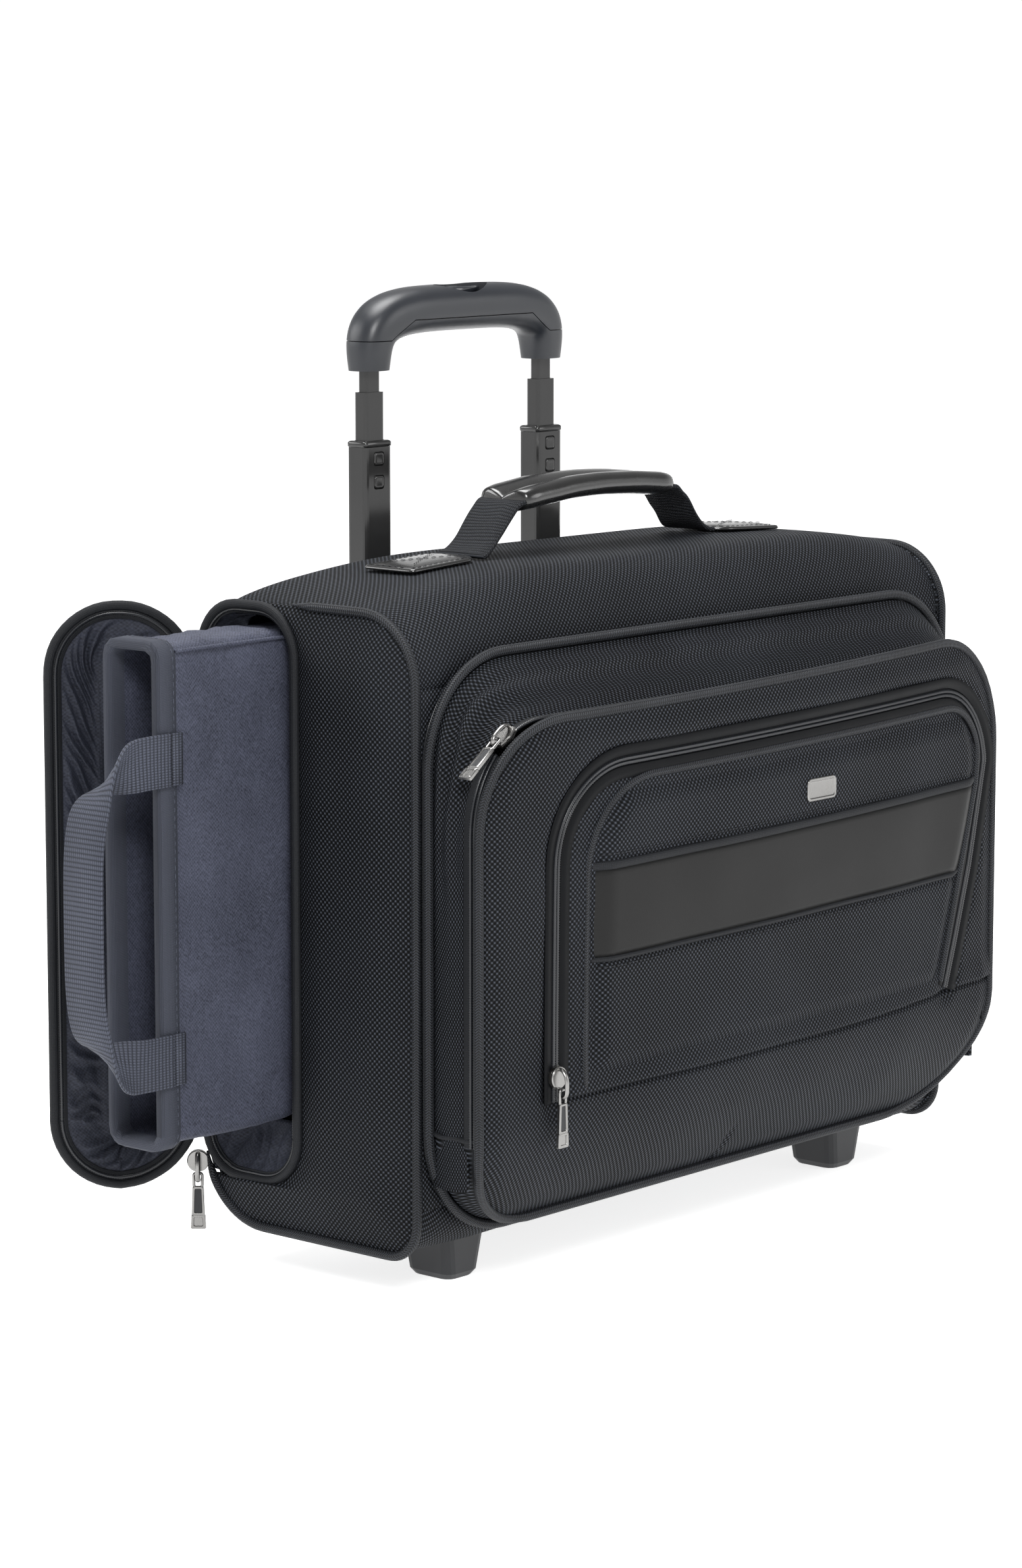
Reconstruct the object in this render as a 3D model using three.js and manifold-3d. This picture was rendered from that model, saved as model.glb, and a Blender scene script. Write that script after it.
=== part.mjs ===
// A rolling laptop case with a telescoping handle, a pulled-out laptop sleeve and an unzipped front pocket.
// Millimetres. X runs across the case (left end at -X), Y from front to back, Z up from the floor.
// While it is built, Y is 0 at the front face of the main compartment and X is 0 halfway across the case.
import * as THREE from "three";
import { mergeVertices } from "three/addons/utils/BufferGeometryUtils.js";
import Module from "manifold-3d";

const wasm = await Module();
wasm.setup();

// ---- Driving dimensions -----------------------------------------------------------------------------
const HALF_WIDTH = 210;
const DEPTH = 142; // main and laptop compartments together
const BOTTOM = 22; // height of the soft bottom above the floor
const SHOULDER = 334; // height of the end panels
const CROWN = 13; // how much higher the middle of the top is than its ends
const SKIN = 3; // padded fabric
const GAP = 0.4; // between neighbouring pieces

const FRONT_TOP_RADIUS = 34;
const REAR_TOP_RADIUS = 28;
const FRONT_BOTTOM_RADIUS = 18;
const REAR_BOTTOM_RADIUS = 40;

const LAPTOP_BAY_FRONT = 78; // where the laptop compartment starts
const OPENING = { front: LAPTOP_BAY_FRONT, back: DEPTH, low: 44.5, high: 333, radius: 23, rim: 4 };

const LID = { half: 205, low: 35, high: 311, radius: 50, back: -3, front: -6 };
const POCKET = { half: 204, low: 36, high: 281, lowRadius: 58, highRadius: 52, edge: 38, foot: 12, wrap: 95 };
const POCKET_BELLY = 6;
const POCKET_LEAN = 6;
const POCKET_RISE = 0.02; // the unzipped pocket hangs a little higher towards its right side
const SMALL_POCKET = {
  left: -137,
  right: 187,
  low: 104,
  high: 250,
  leftRadius: 45,
  rightRadius: 32,
  raise: 5,
  slantFrom: 209, // below this height the right side runs inwards
  zipLeft: 21, // how far outside the panel its zip runs
  zipRight: 8,
  zipTop: 9,
};
const TRIM = { low: 165, high: 208, thickness: 1 };
const BADGE = { x: 36, z: 226, halfWidth: 12.5, halfHeight: 6.5, thickness: 1.5 };

const DOOR = { hingeX: -HALF_WIDTH, hingeY: 141, openDeg: 130, near: 2, far: 77, low: 38, high: 330 };
const DOOR_SHELL = { radii: [34, 40, 36, 34], standoff: 3.4, depth: 8, face: 3, rim: 3.5 };
const SLEEVE = { mouth: -296, end: 104, front: 87, back: 122, low: 78, high: 322, wall: 3, binding: 11 };

const HANDLE = { y: 77, width: 30, halfSpan: 92, halfGrip: 60, base: 348.5, rise: 28 };

const TUBE_X = 67.3;
const TUBE_Y = 162;
const GRIP = { legBottom: 436, barCentre: 466, halfSpan: TUBE_X };
const AXLE = { y: 155.5, z: 24, radius: 4 };
const WHEEL = { radius: 24, inner: 114.4, outer: 134, bore: 4.1 };
const CORD = { radius: 2.4, sides: 6, out: 2.8 }; // edging, and how far outside an outline its centre runs

// ---- Geometry helpers -------------------------------------------------------------------------------
const lerp = THREE.MathUtils.lerp;
const degrees = THREE.MathUtils.degToRad;

function volumeOf(positions, faces) {
  const corner = (index) => new THREE.Vector3().fromArray(positions, 3 * index);
  let sixfold = 0;
  for (let i = 0; i < faces.length; i += 3)
    sixfold += corner(faces[i]).dot(corner(faces[i + 1]).cross(corner(faces[i + 2])));
  return sixfold / 6;
}

// A closed surface from flat lists of positions and triangle corners, turned so that it faces out.
function closed(positions, faces) {
  const outward = volumeOf(positions, faces) > 0 ? faces : faces.slice().reverse();
  const geometry = new THREE.BufferGeometry();
  geometry.setAttribute("position", new THREE.Float32BufferAttribute(positions, 3));
  geometry.setIndex(outward);
  return geometry;
}

// A thin solid between two surfaces, each a function of (u, v) in 0..1 that gives [x, y, z].
function sheet(columns, rows, outer, inner) {
  const positions = [];
  for (const side of [outer, inner])
    for (let j = 0; j <= rows; j++)
      for (let i = 0; i <= columns; i++) positions.push(...side(i / columns, j / rows));
  const across = columns + 1;
  const at = (side, i, j) => side * across * (rows + 1) + j * across + i;
  const faces = [];
  const quad = (a, b, c, d) => faces.push(a, b, c, a, c, d);
  for (let j = 0; j < rows; j++) {
    for (let i = 0; i < columns; i++) {
      quad(at(0, i, j), at(0, i + 1, j), at(0, i + 1, j + 1), at(0, i, j + 1));
      quad(at(1, i, j), at(1, i, j + 1), at(1, i + 1, j + 1), at(1, i + 1, j));
    }
    quad(at(0, 0, j), at(0, 0, j + 1), at(1, 0, j + 1), at(1, 0, j));
    quad(at(0, columns, j), at(1, columns, j), at(1, columns, j + 1), at(0, columns, j + 1));
  }
  for (let i = 0; i < columns; i++) {
    quad(at(0, i, 0), at(1, i, 0), at(1, i + 1, 0), at(0, i + 1, 0));
    quad(at(0, i, rows), at(0, i + 1, rows), at(1, i + 1, rows), at(1, i, rows));
  }
  return closed(positions, faces);
}

// A solid through rings of points; a loop joins its last ring to its first.
function loft(rings, loop = false) {
  const count = rings[0].length;
  const positions = rings.flat().flatMap((p) => p.toArray());
  const faces = [];
  const spans = loop ? rings.length : rings.length - 1;
  for (let r = 0; r < spans; r++) {
    const here = r * count;
    const next = ((r + 1) % rings.length) * count;
    for (let i = 0; i < count; i++) {
      const j = (i + 1) % count;
      faces.push(here + i, here + j, next + j, here + i, next + j, next + i);
    }
  }
  const last = (rings.length - 1) * count;
  for (let i = 1; i < count - 1 && !loop; i++) {
    faces.push(0, i + 1, i);
    faces.push(last, last + i, last + i + 1);
  }
  return closed(positions, faces);
}

// A section of [side, lift] points carried along a path; lift stays near the direction `up`.
function sweep(path, section, up, loop = false) {
  const rings = path.map((point, i) => {
    const before = path[loop ? (i - 1 + path.length) % path.length : Math.max(i - 1, 0)];
    const after = path[loop ? (i + 1) % path.length : Math.min(i + 1, path.length - 1)];
    const along = after.clone().sub(before).normalize();
    const side = along.clone().cross(up).normalize();
    const lift = side.clone().cross(along);
    return section.map(([s, l]) => point.clone().addScaledVector(side, s).addScaledVector(lift, l));
  });
  return loft(rings, loop);
}

const ALONG_X = new THREE.Vector3(1, 0, 0);
const ALONG_Y = new THREE.Vector3(0, 1, 0);

function ring(sides, radius) {
  return Array.from({ length: sides }, (_, i) => {
    const angle = (2 * Math.PI * (i + 0.5)) / sides;
    return [radius * Math.cos(angle), radius * Math.sin(angle)];
  });
}

const strip = (width, thickness) => [
  [-width / 2, -thickness / 2],
  [width / 2, -thickness / 2],
  [width / 2, thickness / 2],
  [-width / 2, thickness / 2],
];

// Points [a, b] on an arc, angles in degrees.
function arc(a, b, radius, from, to, steps) {
  return Array.from({ length: steps + 1 }, (_, i) => {
    const angle = degrees(lerp(from, to, i / steps));
    return [a + radius * Math.cos(angle), b + radius * Math.sin(angle)];
  });
}

const shapeOf = (points) => new THREE.Shape(points.map(([a, b]) => new THREE.Vector2(a, b)));

// Splits long straight runs of an open outline so that it can follow a curved surface.
function dense(points, step = 30) {
  const out = [points[0]];
  points.slice(1).forEach(([a, b], i) => {
    const [a0, b0] = points[i];
    const count = Math.max(1, Math.ceil(Math.hypot(a - a0, b - b0) / step));
    for (let k = 1; k <= count; k++) out.push([lerp(a0, a, k / count), lerp(b0, b, k / count)]);
  });
  return out;
}

// The outline of a rounded rectangle; radii run bottom left, bottom right, top right, top left.
function roundedOutline(left, right, low, high, radii, steps = 6) {
  const [r0, r1, r2, r3] = radii.length ? radii : [radii, radii, radii, radii];
  return [
    ...arc(left + r0, low + r0, r0, 180, 270, steps),
    ...arc(right - r1, low + r1, r1, 270, 360, steps),
    ...arc(right - r2, high - r2, r2, 0, 90, steps),
    ...arc(left + r3, high - r3, r3, 90, 180, steps),
  ];
}

function extrude(shape, depth) {
  return new THREE.ExtrudeGeometry(shape, { depth, bevelEnabled: false, curveSegments: 8 });
}

// An [x, z] outline standing across the case, from y = front to y = back.
function frontPlate(shape, front, back) {
  return extrude(shape, back - front).rotateX(Math.PI / 2).translate(0, back, 0);
}

// A [y, z] outline standing at an end of the case, from x = low to x = high.
function sidePlate(shape, low, high) {
  return extrude(shape, high - low).rotateX(Math.PI / 2).rotateZ(Math.PI / 2).translate(low, 0, 0);
}

function withHole(outline, hole) {
  const shape = shapeOf(outline);
  shape.holes.push(shapeOf(hole));
  return shape;
}

function block(x0, x1, y0, y1, z0, z1) {
  const size = new THREE.BoxGeometry(x1 - x0, y1 - y0, z1 - z0);
  return size.translate((x0 + x1) / 2, (y0 + y1) / 2, (z0 + z1) / 2);
}

function solid(geometry) {
  const bare = geometry.clone().deleteAttribute("normal").deleteAttribute("uv");
  const merged = mergeVertices(bare, 1e-4);
  const mesh = new wasm.Mesh({
    numProp: 3,
    vertProperties: new Float32Array(merged.attributes.position.array),
    triVerts: new Uint32Array(merged.index.array),
  });
  return new wasm.Manifold(mesh);
}

function surface(manifold) {
  const mesh = manifold.getMesh();
  const geometry = new THREE.BufferGeometry();
  geometry.setAttribute("position", new THREE.BufferAttribute(mesh.vertProperties, 3));
  return geometry.setIndex(new THREE.BufferAttribute(mesh.triVerts, 1));
}

const united = (...parts) => surface(parts.map(solid).reduce((a, b) => a.add(b)));
const cut = (body, ...tools) => surface(tools.map(solid).reduce((a, b) => a.subtract(b), solid(body)));
const shared = (a, b) => surface(solid(a).intersect(solid(b)));

// ---- Materials --------------------------------------------------------------------------------------
const LOOKS = {
  nylon: { color: 0x26272a, roughness: 0.85, metalness: 0 },
  piping: { color: 0x1c1d1f, roughness: 0.8, metalness: 0 },
  zip: { color: 0x141416, roughness: 0.6, metalness: 0 },
  lining: { color: 0x4b5062, roughness: 0.9, metalness: 0 },
  lining_webbing: { color: 0x4f566b, roughness: 0.9, metalness: 0 },
  webbing: { color: 0x1a1b1d, roughness: 0.9, metalness: 0 },
  faux_leather: { color: 0x444446, roughness: 0.55, metalness: 0 },
  gloss_leather: { color: 0x161616, roughness: 0.25, metalness: 0 },
  tube: { color: 0x17181a, roughness: 0.25, metalness: 0.6 },
  grip_plastic: { color: 0x4b4e50, roughness: 0.5, metalness: 0 },
  gloss_plastic: { color: 0x202122, roughness: 0.15, metalness: 0 },
  chassis_plastic: { color: 0x2c2d2f, roughness: 0.6, metalness: 0 },
  nickel: { color: 0xaaa5a0, roughness: 0.35, metalness: 0.9 },
  rubber: { color: 0x191919, roughness: 0.8, metalness: 0 },
};

function piece(name, geometry, look) {
  const mesh = new THREE.Mesh(geometry, new THREE.MeshStandardMaterial(LOOKS[look]));
  mesh.name = name;
  return mesh;
}

// ---- The soft shell ---------------------------------------------------------------------------------
// The top bulges upwards between its ends; the lips at the front and rear stay level.
function crownAt(x, z) {
  const ends = 1 - (Math.abs(x) / HALF_WIDTH) ** 4;
  const lips = THREE.MathUtils.clamp((z - (SHOULDER - 20)) / 20, 0, 1);
  return CROWN * ends * lips;
}

function topProfile(inset) {
  const front = arc(FRONT_TOP_RADIUS, SHOULDER - FRONT_TOP_RADIUS, FRONT_TOP_RADIUS - inset, 156, 90, 7);
  const middle = [[(FRONT_TOP_RADIUS + DEPTH - REAR_TOP_RADIUS) / 2, SHOULDER - inset]];
  const rearY = DEPTH - REAR_TOP_RADIUS;
  const rear = arc(rearY, SHOULDER - REAR_TOP_RADIUS, REAR_TOP_RADIUS - inset, 90, 26, 6);
  return [...front, ...middle, ...rear];
}

function bottomProfile(inset) {
  const frontZ = BOTTOM + FRONT_BOTTOM_RADIUS;
  const front = arc(FRONT_BOTTOM_RADIUS, frontZ, FRONT_BOTTOM_RADIUS - inset, 180, 270, 5);
  const rearY = DEPTH - REAR_BOTTOM_RADIUS;
  const rear = arc(rearY, BOTTOM + REAR_BOTTOM_RADIUS, REAR_BOTTOM_RADIUS - inset, 270, 354, 8);
  return [...front, ...rear];
}

function shellPanel(profile, columns) {
  const reach = HALF_WIDTH - SKIN - GAP;
  const at = (points) => (u, v) => {
    const x = lerp(-reach, reach, u);
    const [y, z] = points[Math.round(v * (points.length - 1))];
    return [x, y, z + crownAt(x, z)];
  };
  return sheet(columns, profile(0).length - 1, at(profile(0)), at(profile(SKIN)));
}

function backPanel() {
  const outline = roundedOutline(-206, 206, 60, 316, 4, 2);
  return frontPlate(shapeOf(outline), DEPTH - 4, DEPTH);
}

const endOutline = () =>
  roundedOutline(0, DEPTH, BOTTOM, SHOULDER, [
    FRONT_BOTTOM_RADIUS,
    REAR_BOTTOM_RADIUS,
    REAR_TOP_RADIUS,
    FRONT_TOP_RADIUS,
  ]);

// The left end panel is cut away where the laptop door's opening is.
function leftEndPanel() {
  const edge = LAPTOP_BAY_FRONT - GAP;
  const lowRear = OPENING.low - GAP;
  const rearY = DEPTH - REAR_BOTTOM_RADIUS;
  const rearZ = BOTTOM + REAR_BOTTOM_RADIUS;
  const reach = THREE.MathUtils.radToDeg(Math.acos((rearZ - lowRear) / REAR_BOTTOM_RADIUS));
  const underOpening = arc(rearY, rearZ, REAR_BOTTOM_RADIUS, 270, 270 + reach, 4);
  const openingCorner = arc(edge + OPENING.radius, lowRear + OPENING.radius, OPENING.radius, 270, 180, 5);
  const outline = [
    ...arc(FRONT_BOTTOM_RADIUS, BOTTOM + FRONT_BOTTOM_RADIUS, FRONT_BOTTOM_RADIUS, 180, 270, 5),
    ...underOpening,
    ...openingCorner,
    [edge, SHOULDER],
    ...arc(FRONT_TOP_RADIUS, SHOULDER - FRONT_TOP_RADIUS, FRONT_TOP_RADIUS, 90, 180, 6),
  ];
  return sidePlate(shapeOf(outline), -HALF_WIDTH, -HALF_WIDTH + SKIN);
}

function openingRim() {
  const { front, back, low, high, radius, rim } = OPENING;
  const outer = roundedOutline(front, back, low, high, radius);
  const inner = roundedOutline(front + rim, back - rim, low + rim, high - rim, radius - rim);
  return sidePlate(withHole(outer, inner), -HALF_WIDTH - SKIN, -HALF_WIDTH + SKIN);
}

function compartmentDivider() {
  const outline = roundedOutline(-205, 205, BOTTOM + SKIN + 1, SHOULDER - SKIN - 1, 4, 2);
  return frontPlate(shapeOf(outline), LAPTOP_BAY_FRONT - 4, LAPTOP_BAY_FRONT - 1.5);
}

function mainOpeningFrame() {
  const outer = roundedOutline(-206, 206, BOTTOM + 19, 311, 6, 3);
  const inner = roundedOutline(-192, 192, BOTTOM + 31, 299, 42, 6);
  return frontPlate(withHole(outer, inner), 0.2, SKIN);
}

// Cord edging on the end panels, standing on their outer faces.
function endPiping() {
  const outline = [
    [LAPTOP_BAY_FRONT, SHOULDER - 1],
    ...arc(FRONT_TOP_RADIUS, SHOULDER - FRONT_TOP_RADIUS, FRONT_TOP_RADIUS - 1, 90, 180, 8),
    ...arc(FRONT_BOTTOM_RADIUS, BOTTOM + FRONT_BOTTOM_RADIUS, FRONT_BOTTOM_RADIUS - 1, 180, 270, 6),
    ...arc(DEPTH - REAR_BOTTOM_RADIUS, BOTTOM + REAR_BOTTOM_RADIUS, REAR_BOTTOM_RADIUS - 1, 270, 325, 5),
  ];
  const path = outline.map(([y, z]) => new THREE.Vector3(-HALF_WIDTH - 2.6, y, z));
  return sweep(path, ring(CORD.sides, CORD.radius), ALONG_X);
}

function shell() {
  const right = sidePlate(shapeOf(endOutline()), HALF_WIDTH - SKIN, HALF_WIDTH);
  return [
    piece("back_panel", backPanel(), "nylon"),
    piece("top_panel", shellPanel(topProfile, 16), "nylon"),
    piece("bottom_panel", shellPanel(bottomProfile, 2), "nylon"),
    piece("left_end_panel", leftEndPanel(), "nylon"),
    piece("right_end_panel", right, "nylon"),
    piece("compartment_divider", compartmentDivider(), "lining"),
    piece("laptop_opening_rim", openingRim(), "piping"),
    piece("main_opening_frame", mainOpeningFrame(), "nylon"),
    piece("end_piping", endPiping(), "piping"),
  ];
}

// ---- The organiser lid ------------------------------------------------------------------------------
// An arch of [x, z] points: up the left side, over the top and down the right side.
function arch(half, low, high, radius, steps = 8) {
  return [
    [-half, low],
    [-half, (low + high - radius) / 2],
    ...arc(-half + radius, high - radius, radius, 180, 90, steps),
    [0, high],
    ...arc(half - radius, high - radius, radius, 90, 0, steps),
    [half, (low + high - radius) / 2],
    [half, low],
  ];
}

const LID_MOUTH = { front: -28, half: 205.5, high: 283, low: 82 };

function mainZip() {
  const { half, low, high, radius, back } = LID;
  const outer = roundedOutline(-half, half, low, high, radius);
  const inner = roundedOutline(-half + 6, half - 6, low + 6, high - 6, radius - 6);
  return frontPlate(withHole(outer, inner), back + GAP, -0.2);
}

function lidBack() {
  const { half, low, high, radius, back, front } = LID;
  return frontPlate(shapeOf(roundedOutline(-half, half, low, high, radius)), front, back);
}

// The side wall of the lid: it slopes down from the lid's outline to the front pocket's zip.
function lidGusset() {
  const archOf = (edge, inset) =>
    arch(edge.half - inset, LID_MOUTH.low, edge.high - inset, LID.radius - inset);
  const rear = (inset) => archOf(LID, inset);
  const front = (inset) => archOf(LID_MOUTH, inset);
  const at = (inset) => (u, v) => {
    const index = Math.round(u * (rear(0).length - 1));
    const [x0, z0] = rear(inset)[index];
    const [x1, z1] = front(inset)[index];
    return [lerp(x0, x1, v), lerp(LID.front - GAP, LID_MOUTH.front, v), lerp(z0, z1, v)];
  };
  return sheet(rear(0).length - 1, 3, at(0), at(2.5));
}

function lidPiping() {
  const { half, low, high, radius } = LID;
  const { out } = CORD;
  const outline = roundedOutline(-half - out, half + out, low - out, high + out, radius + out, 7);
  const path = outline.map(([x, z]) => new THREE.Vector3(x, LID.front + 0.5, z));
  return sweep(path, ring(CORD.sides, CORD.radius), ALONG_Y, true);
}

// The wedge of fabric that closes each side of the front pocket below its zip.
function pocketGusset(side) {
  const at = (inset) => (u, v) => {
    const z = lerp(50, LID_MOUTH.low - 2, v);
    const x = side * (pocketHalfWidth(z) - 6 - inset);
    const front = pocketSurface(x, z) + SKIN + 2.5;
    return [x, lerp(LID.front - 1, front, u), z];
  };
  return sheet(2, 4, at(0), at(2));
}

function pocketZip() {
  const path = arch(LID_MOUTH.half - 3, LID_MOUTH.low, LID_MOUTH.high - 3, LID.radius - 3);
  const points = path.map(([x, z]) => new THREE.Vector3(x, LID_MOUTH.front - 1.4, z));
  return sweep(points, strip(6, 1.8), ALONG_Y);
}

// ---- The front pocket -------------------------------------------------------------------------------
function cornerInset(distance, radius) {
  if (distance >= radius) return 0;
  return radius - Math.sqrt(radius ** 2 - (radius - distance) ** 2);
}

function pocketHalfWidth(z) {
  const { half, low, high, lowRadius, highRadius } = POCKET;
  return half - cornerInset(z - low, lowRadius) - cornerInset(high - z, highRadius);
}

// Depth (y) of the pocket's outer face: it wraps in at the foot, bulges and leans out at the top.
function pocketSurface(x, z) {
  const { half, low, high, edge, foot, wrap } = POCKET;
  const rise = THREE.MathUtils.clamp((z - low) / (wrap - low), 0, 1);
  const wrapped = lerp(foot, edge, Math.sin((rise * Math.PI) / 2));
  const across = 1 - Math.min(1, Math.abs(x) / half) ** 2;
  const lean = POCKET_LEAN * Math.max(0, (z - wrap) / (high - wrap)) ** 2;
  return -(wrapped + across * (POCKET_BELLY * rise + lean));
}

const pocketRise = (x, z) => (POCKET_RISE * Math.max(0, x + 140) * z) / 250;

function onPocket(x, z, raise = 0) {
  return [x, pocketSurface(x, z) - raise, z + pocketRise(x, z)];
}

function pocketPanel() {
  const at = (raise) => (u, v) => {
    const z = lerp(POCKET.low, POCKET.high, (1 - Math.cos(Math.PI * v)) / 2);
    return onPocket(lerp(-1, 1, u) * pocketHalfWidth(z), z, raise);
  };
  return sheet(12, 16, at(0), at(-SKIN));
}

function pocketPiping() {
  const { half, high, lowRadius, highRadius, low } = POCKET;
  const out = CORD.out + GAP;
  const outline = [
    ...arc(-half + lowRadius, low + lowRadius, lowRadius + out, 225, 180, 5),
    ...arc(-half + highRadius, high - highRadius, highRadius + out, 180, 90, 8),
    [0, high + out],
    ...arc(half - highRadius, high - highRadius, highRadius + out, 90, 0, 8),
    ...arc(half - lowRadius, low + lowRadius, lowRadius + out, 0, -45, 5),
  ];
  const path = dense(outline).map(([x, z]) => new THREE.Vector3(...onPocket(x, z, -CORD.radius / 2)));
  return sweep(path, ring(CORD.sides, CORD.radius), ALONG_Y);
}

function smallPocketEdges(z) {
  const { left, right, high, leftRadius, rightRadius, slantFrom } = SMALL_POCKET;
  const slant = Math.max(0, slantFrom - z) / 3;
  return [left + cornerInset(high - z, leftRadius), right - slant - cornerInset(high - z, rightRadius)];
}

function smallPocketPatch(low, high, trim, outer, inner, columns, rows) {
  const at = (raise) => (u, v) => {
    const z = lerp(low, high, Math.sin((v * Math.PI) / 2));
    const [left, right] = smallPocketEdges(z);
    return onPocket(lerp(left + trim, right - trim, u), z, raise);
  };
  return sheet(columns, rows, at(outer), at(inner));
}

function smallPocketZip() {
  const left = SMALL_POCKET.left - SMALL_POCKET.zipLeft;
  const right = SMALL_POCKET.right + SMALL_POCKET.zipRight;
  const high = SMALL_POCKET.high + SMALL_POCKET.zipTop;
  const radius = 46;
  const outline = [
    [left, 100],
    ...arc(left + radius, high - radius, radius, 180, 90, 7),
    [20, high],
    ...arc(right - radius, high - radius, radius, 90, 0, 7),
    [right - 14, 165],
    [right - 26, 126],
  ];
  const path = dense(outline).map(([x, z]) => new THREE.Vector3(...onPocket(x, z, 1.2)));
  return sweep(path, strip(6, 1.2), ALONG_Y);
}

function badge() {
  const { halfWidth, halfHeight, thickness } = BADGE;
  const outline = roundedOutline(-halfWidth, halfWidth, -halfHeight, halfHeight, 3, 3);
  const [x, y, z] = onPocket(BADGE.x, BADGE.z, SMALL_POCKET.raise + 1);
  return frontPlate(shapeOf(outline), -thickness, 0).translate(x, y, z);
}

function organiser() {
  const { low, high, raise } = SMALL_POCKET;
  const bandBack = raise + GAP;
  const band = smallPocketPatch(TRIM.low, TRIM.high, 1.5, bandBack + TRIM.thickness, bandBack, 10, 2);
  return [
    piece("main_zip", mainZip(), "zip"),
    piece("organiser_back_panel", lidBack(), "nylon"),
    piece("organiser_gusset", lidGusset(), "nylon"),
    piece("organiser_piping", lidPiping(), "piping"),
    piece("front_pocket_gusset_left", pocketGusset(-1), "nylon"),
    piece("front_pocket_gusset_right", pocketGusset(1), "nylon"),
    piece("front_pocket_zip", pocketZip(), "zip"),
    piece("front_pocket_panel", pocketPanel(), "nylon"),
    piece("front_pocket_piping", pocketPiping(), "piping"),
    piece("small_pocket_panel", smallPocketPatch(low, high, 0, raise, 0.5, 10, 10), "nylon"),
    piece("small_pocket_zip", smallPocketZip(), "zip"),
    piece("trim_band", band, "faux_leather"),
    piece("badge_plate", badge(), "nickel"),
  ];
}

// ---- Zip sliders and pulls --------------------------------------------------------------------------
// Local frame: the origin is the pull's hinge, the pull hangs towards -Z and the face points towards -Y.
function slider(outline) {
  const tail = [
    [-3, -3],
    [3, -3],
    [3, 4],
    [-3, 4],
  ];
  const body = united(frontPlate(shapeOf(outline), 1.5, 4.5), frontPlate(shapeOf(tail), 1.5, 4.5));
  const bridgeSide = [
    [1.6, -3],
    [-2.6, -3],
    [-2.6, 6.5],
    [1.6, 10.5],
  ];
  const eye = block(-2, 2, -1.5, 1.5, -1.6, 6);
  const bridge = cut(sidePlate(shapeOf(bridgeSide), -1.2, 1.2), eye);
  return united(body, bridge);
}

const DISC = arc(0, 6.6, 5.6, 0, 337.5, 15);
const HEXAGON = [
  [-2.4, -1],
  [2.4, -1],
  [4, 6],
  [2, 12],
  [-2, 12],
  [-4, 6],
];

function pull() {
  const outline = roundedOutline(-3.8, 3.8, -30.2, 0.8, [0.6, 0.6, 2, 2], 2);
  const eye = roundedOutline(-2.4, 2.4, -6.4, -0.7, 0.8, 2);
  const channel = block(-2.4, 2.4, -1.2, -0.5, -22.2, -8);
  return cut(frontPlate(withHole(outline, eye), -0.9, 0.9), channel);
}

// Puts a slider and its pull at `hinge`, with the pull hanging along `hang` and its face turned to `face`.
function zipPull(name, outline, hinge, hang, face) {
  const up = new THREE.Vector3(...hang).normalize().negate();
  const back = new THREE.Vector3(...face).negate();
  back.addScaledVector(up, -back.dot(up)).normalize();
  const across = back.clone().cross(up);
  const placed = (geometry) =>
    geometry.applyMatrix4(new THREE.Matrix4().makeBasis(across, back, up)).translate(...hinge);
  return [
    piece(name + "_slider", placed(slider(outline)), "nickel"),
    piece(name + "_pull", placed(pull()), "nickel"),
  ];
}

// The front pocket's slider stands this far round the lid's left corner, in degrees from straight out.
const OPENED_TO = 128;
const PULL_LEAN = 3; // its pull hangs a little less than along the zip

function zipPulls() {
  const corner = [-LID_MOUTH.half + LID.radius, LID_MOUTH.high - LID.radius];
  const [[cornerX, cornerZ]] = arc(...corner, LID.radius + 5.5, OPENED_TO, OPENED_TO, 1);
  const lean = degrees(OPENED_TO - PULL_LEAN);
  const tangent = [-Math.sin(lean), 0, Math.cos(lean)];
  const outward = [tangent[2], 0, -tangent[0]];
  const small = onPocket(SMALL_POCKET.left - SMALL_POCKET.zipLeft, SMALL_POCKET.low, 6.5);
  return [
    ...zipPull("front_pocket_zip", HEXAGON, [cornerX, LID_MOUTH.front - 4.6, cornerZ], tangent, outward),
    ...zipPull("small_pocket_zip", DISC, small, [0, 0, -1], [0, -1, 0]),
    ...zipPull("laptop_zip", DISC, [-215, 144, 43], [0, 0, -1], [-0.75, -0.66, 0]),
    ...zipPull("main_zip", DISC, [217, -2, 92], [0, 0, -1], [1, 0, 0]),
  ];
}

// ---- The laptop door and sleeve ---------------------------------------------------------------------
// The door is drawn a quarter turn open, pointing away from the case, then turned on about its rear edge.
function swungOpen(geometry) {
  return geometry.rotateZ(degrees(90 - DOOR.openDeg)).translate(DOOR.hingeX, DOOR.hingeY, 0);
}

function door() {
  const { near, far, low, high } = DOOR;
  const { radii, standoff, depth } = DOOR_SHELL;
  const outline = (inset) => {
    const corners = radii.map((r) => r - inset);
    return roundedOutline(-far + inset, -near - inset, low + inset, high - inset, corners);
  };
  const outer = standoff + depth;
  const inner = outer - DOOR_SHELL.face;
  const face = frontPlate(shapeOf(outline(0)), inner, outer);
  const rim = frontPlate(withHole(outline(0), outline(DOOR_SHELL.rim)), standoff, inner - GAP);
  return [
    piece("laptop_door_panel", swungOpen(face), "nylon"),
    piece("laptop_door_rim", swungOpen(rim), "piping"),
  ];
}

function sleeveGusset() {
  const { mouth, end, low, high, wall, front, back } = SLEEVE;
  const outline = [
    [mouth, low],
    [end, low],
    [end, high],
    [mouth, high],
    [mouth, high - wall],
    [end - wall, high - wall],
    [end - wall, low + wall],
    [mouth, low + wall],
  ];
  return frontPlate(shapeOf(outline), front + wall + GAP, back - wall - GAP);
}

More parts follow.
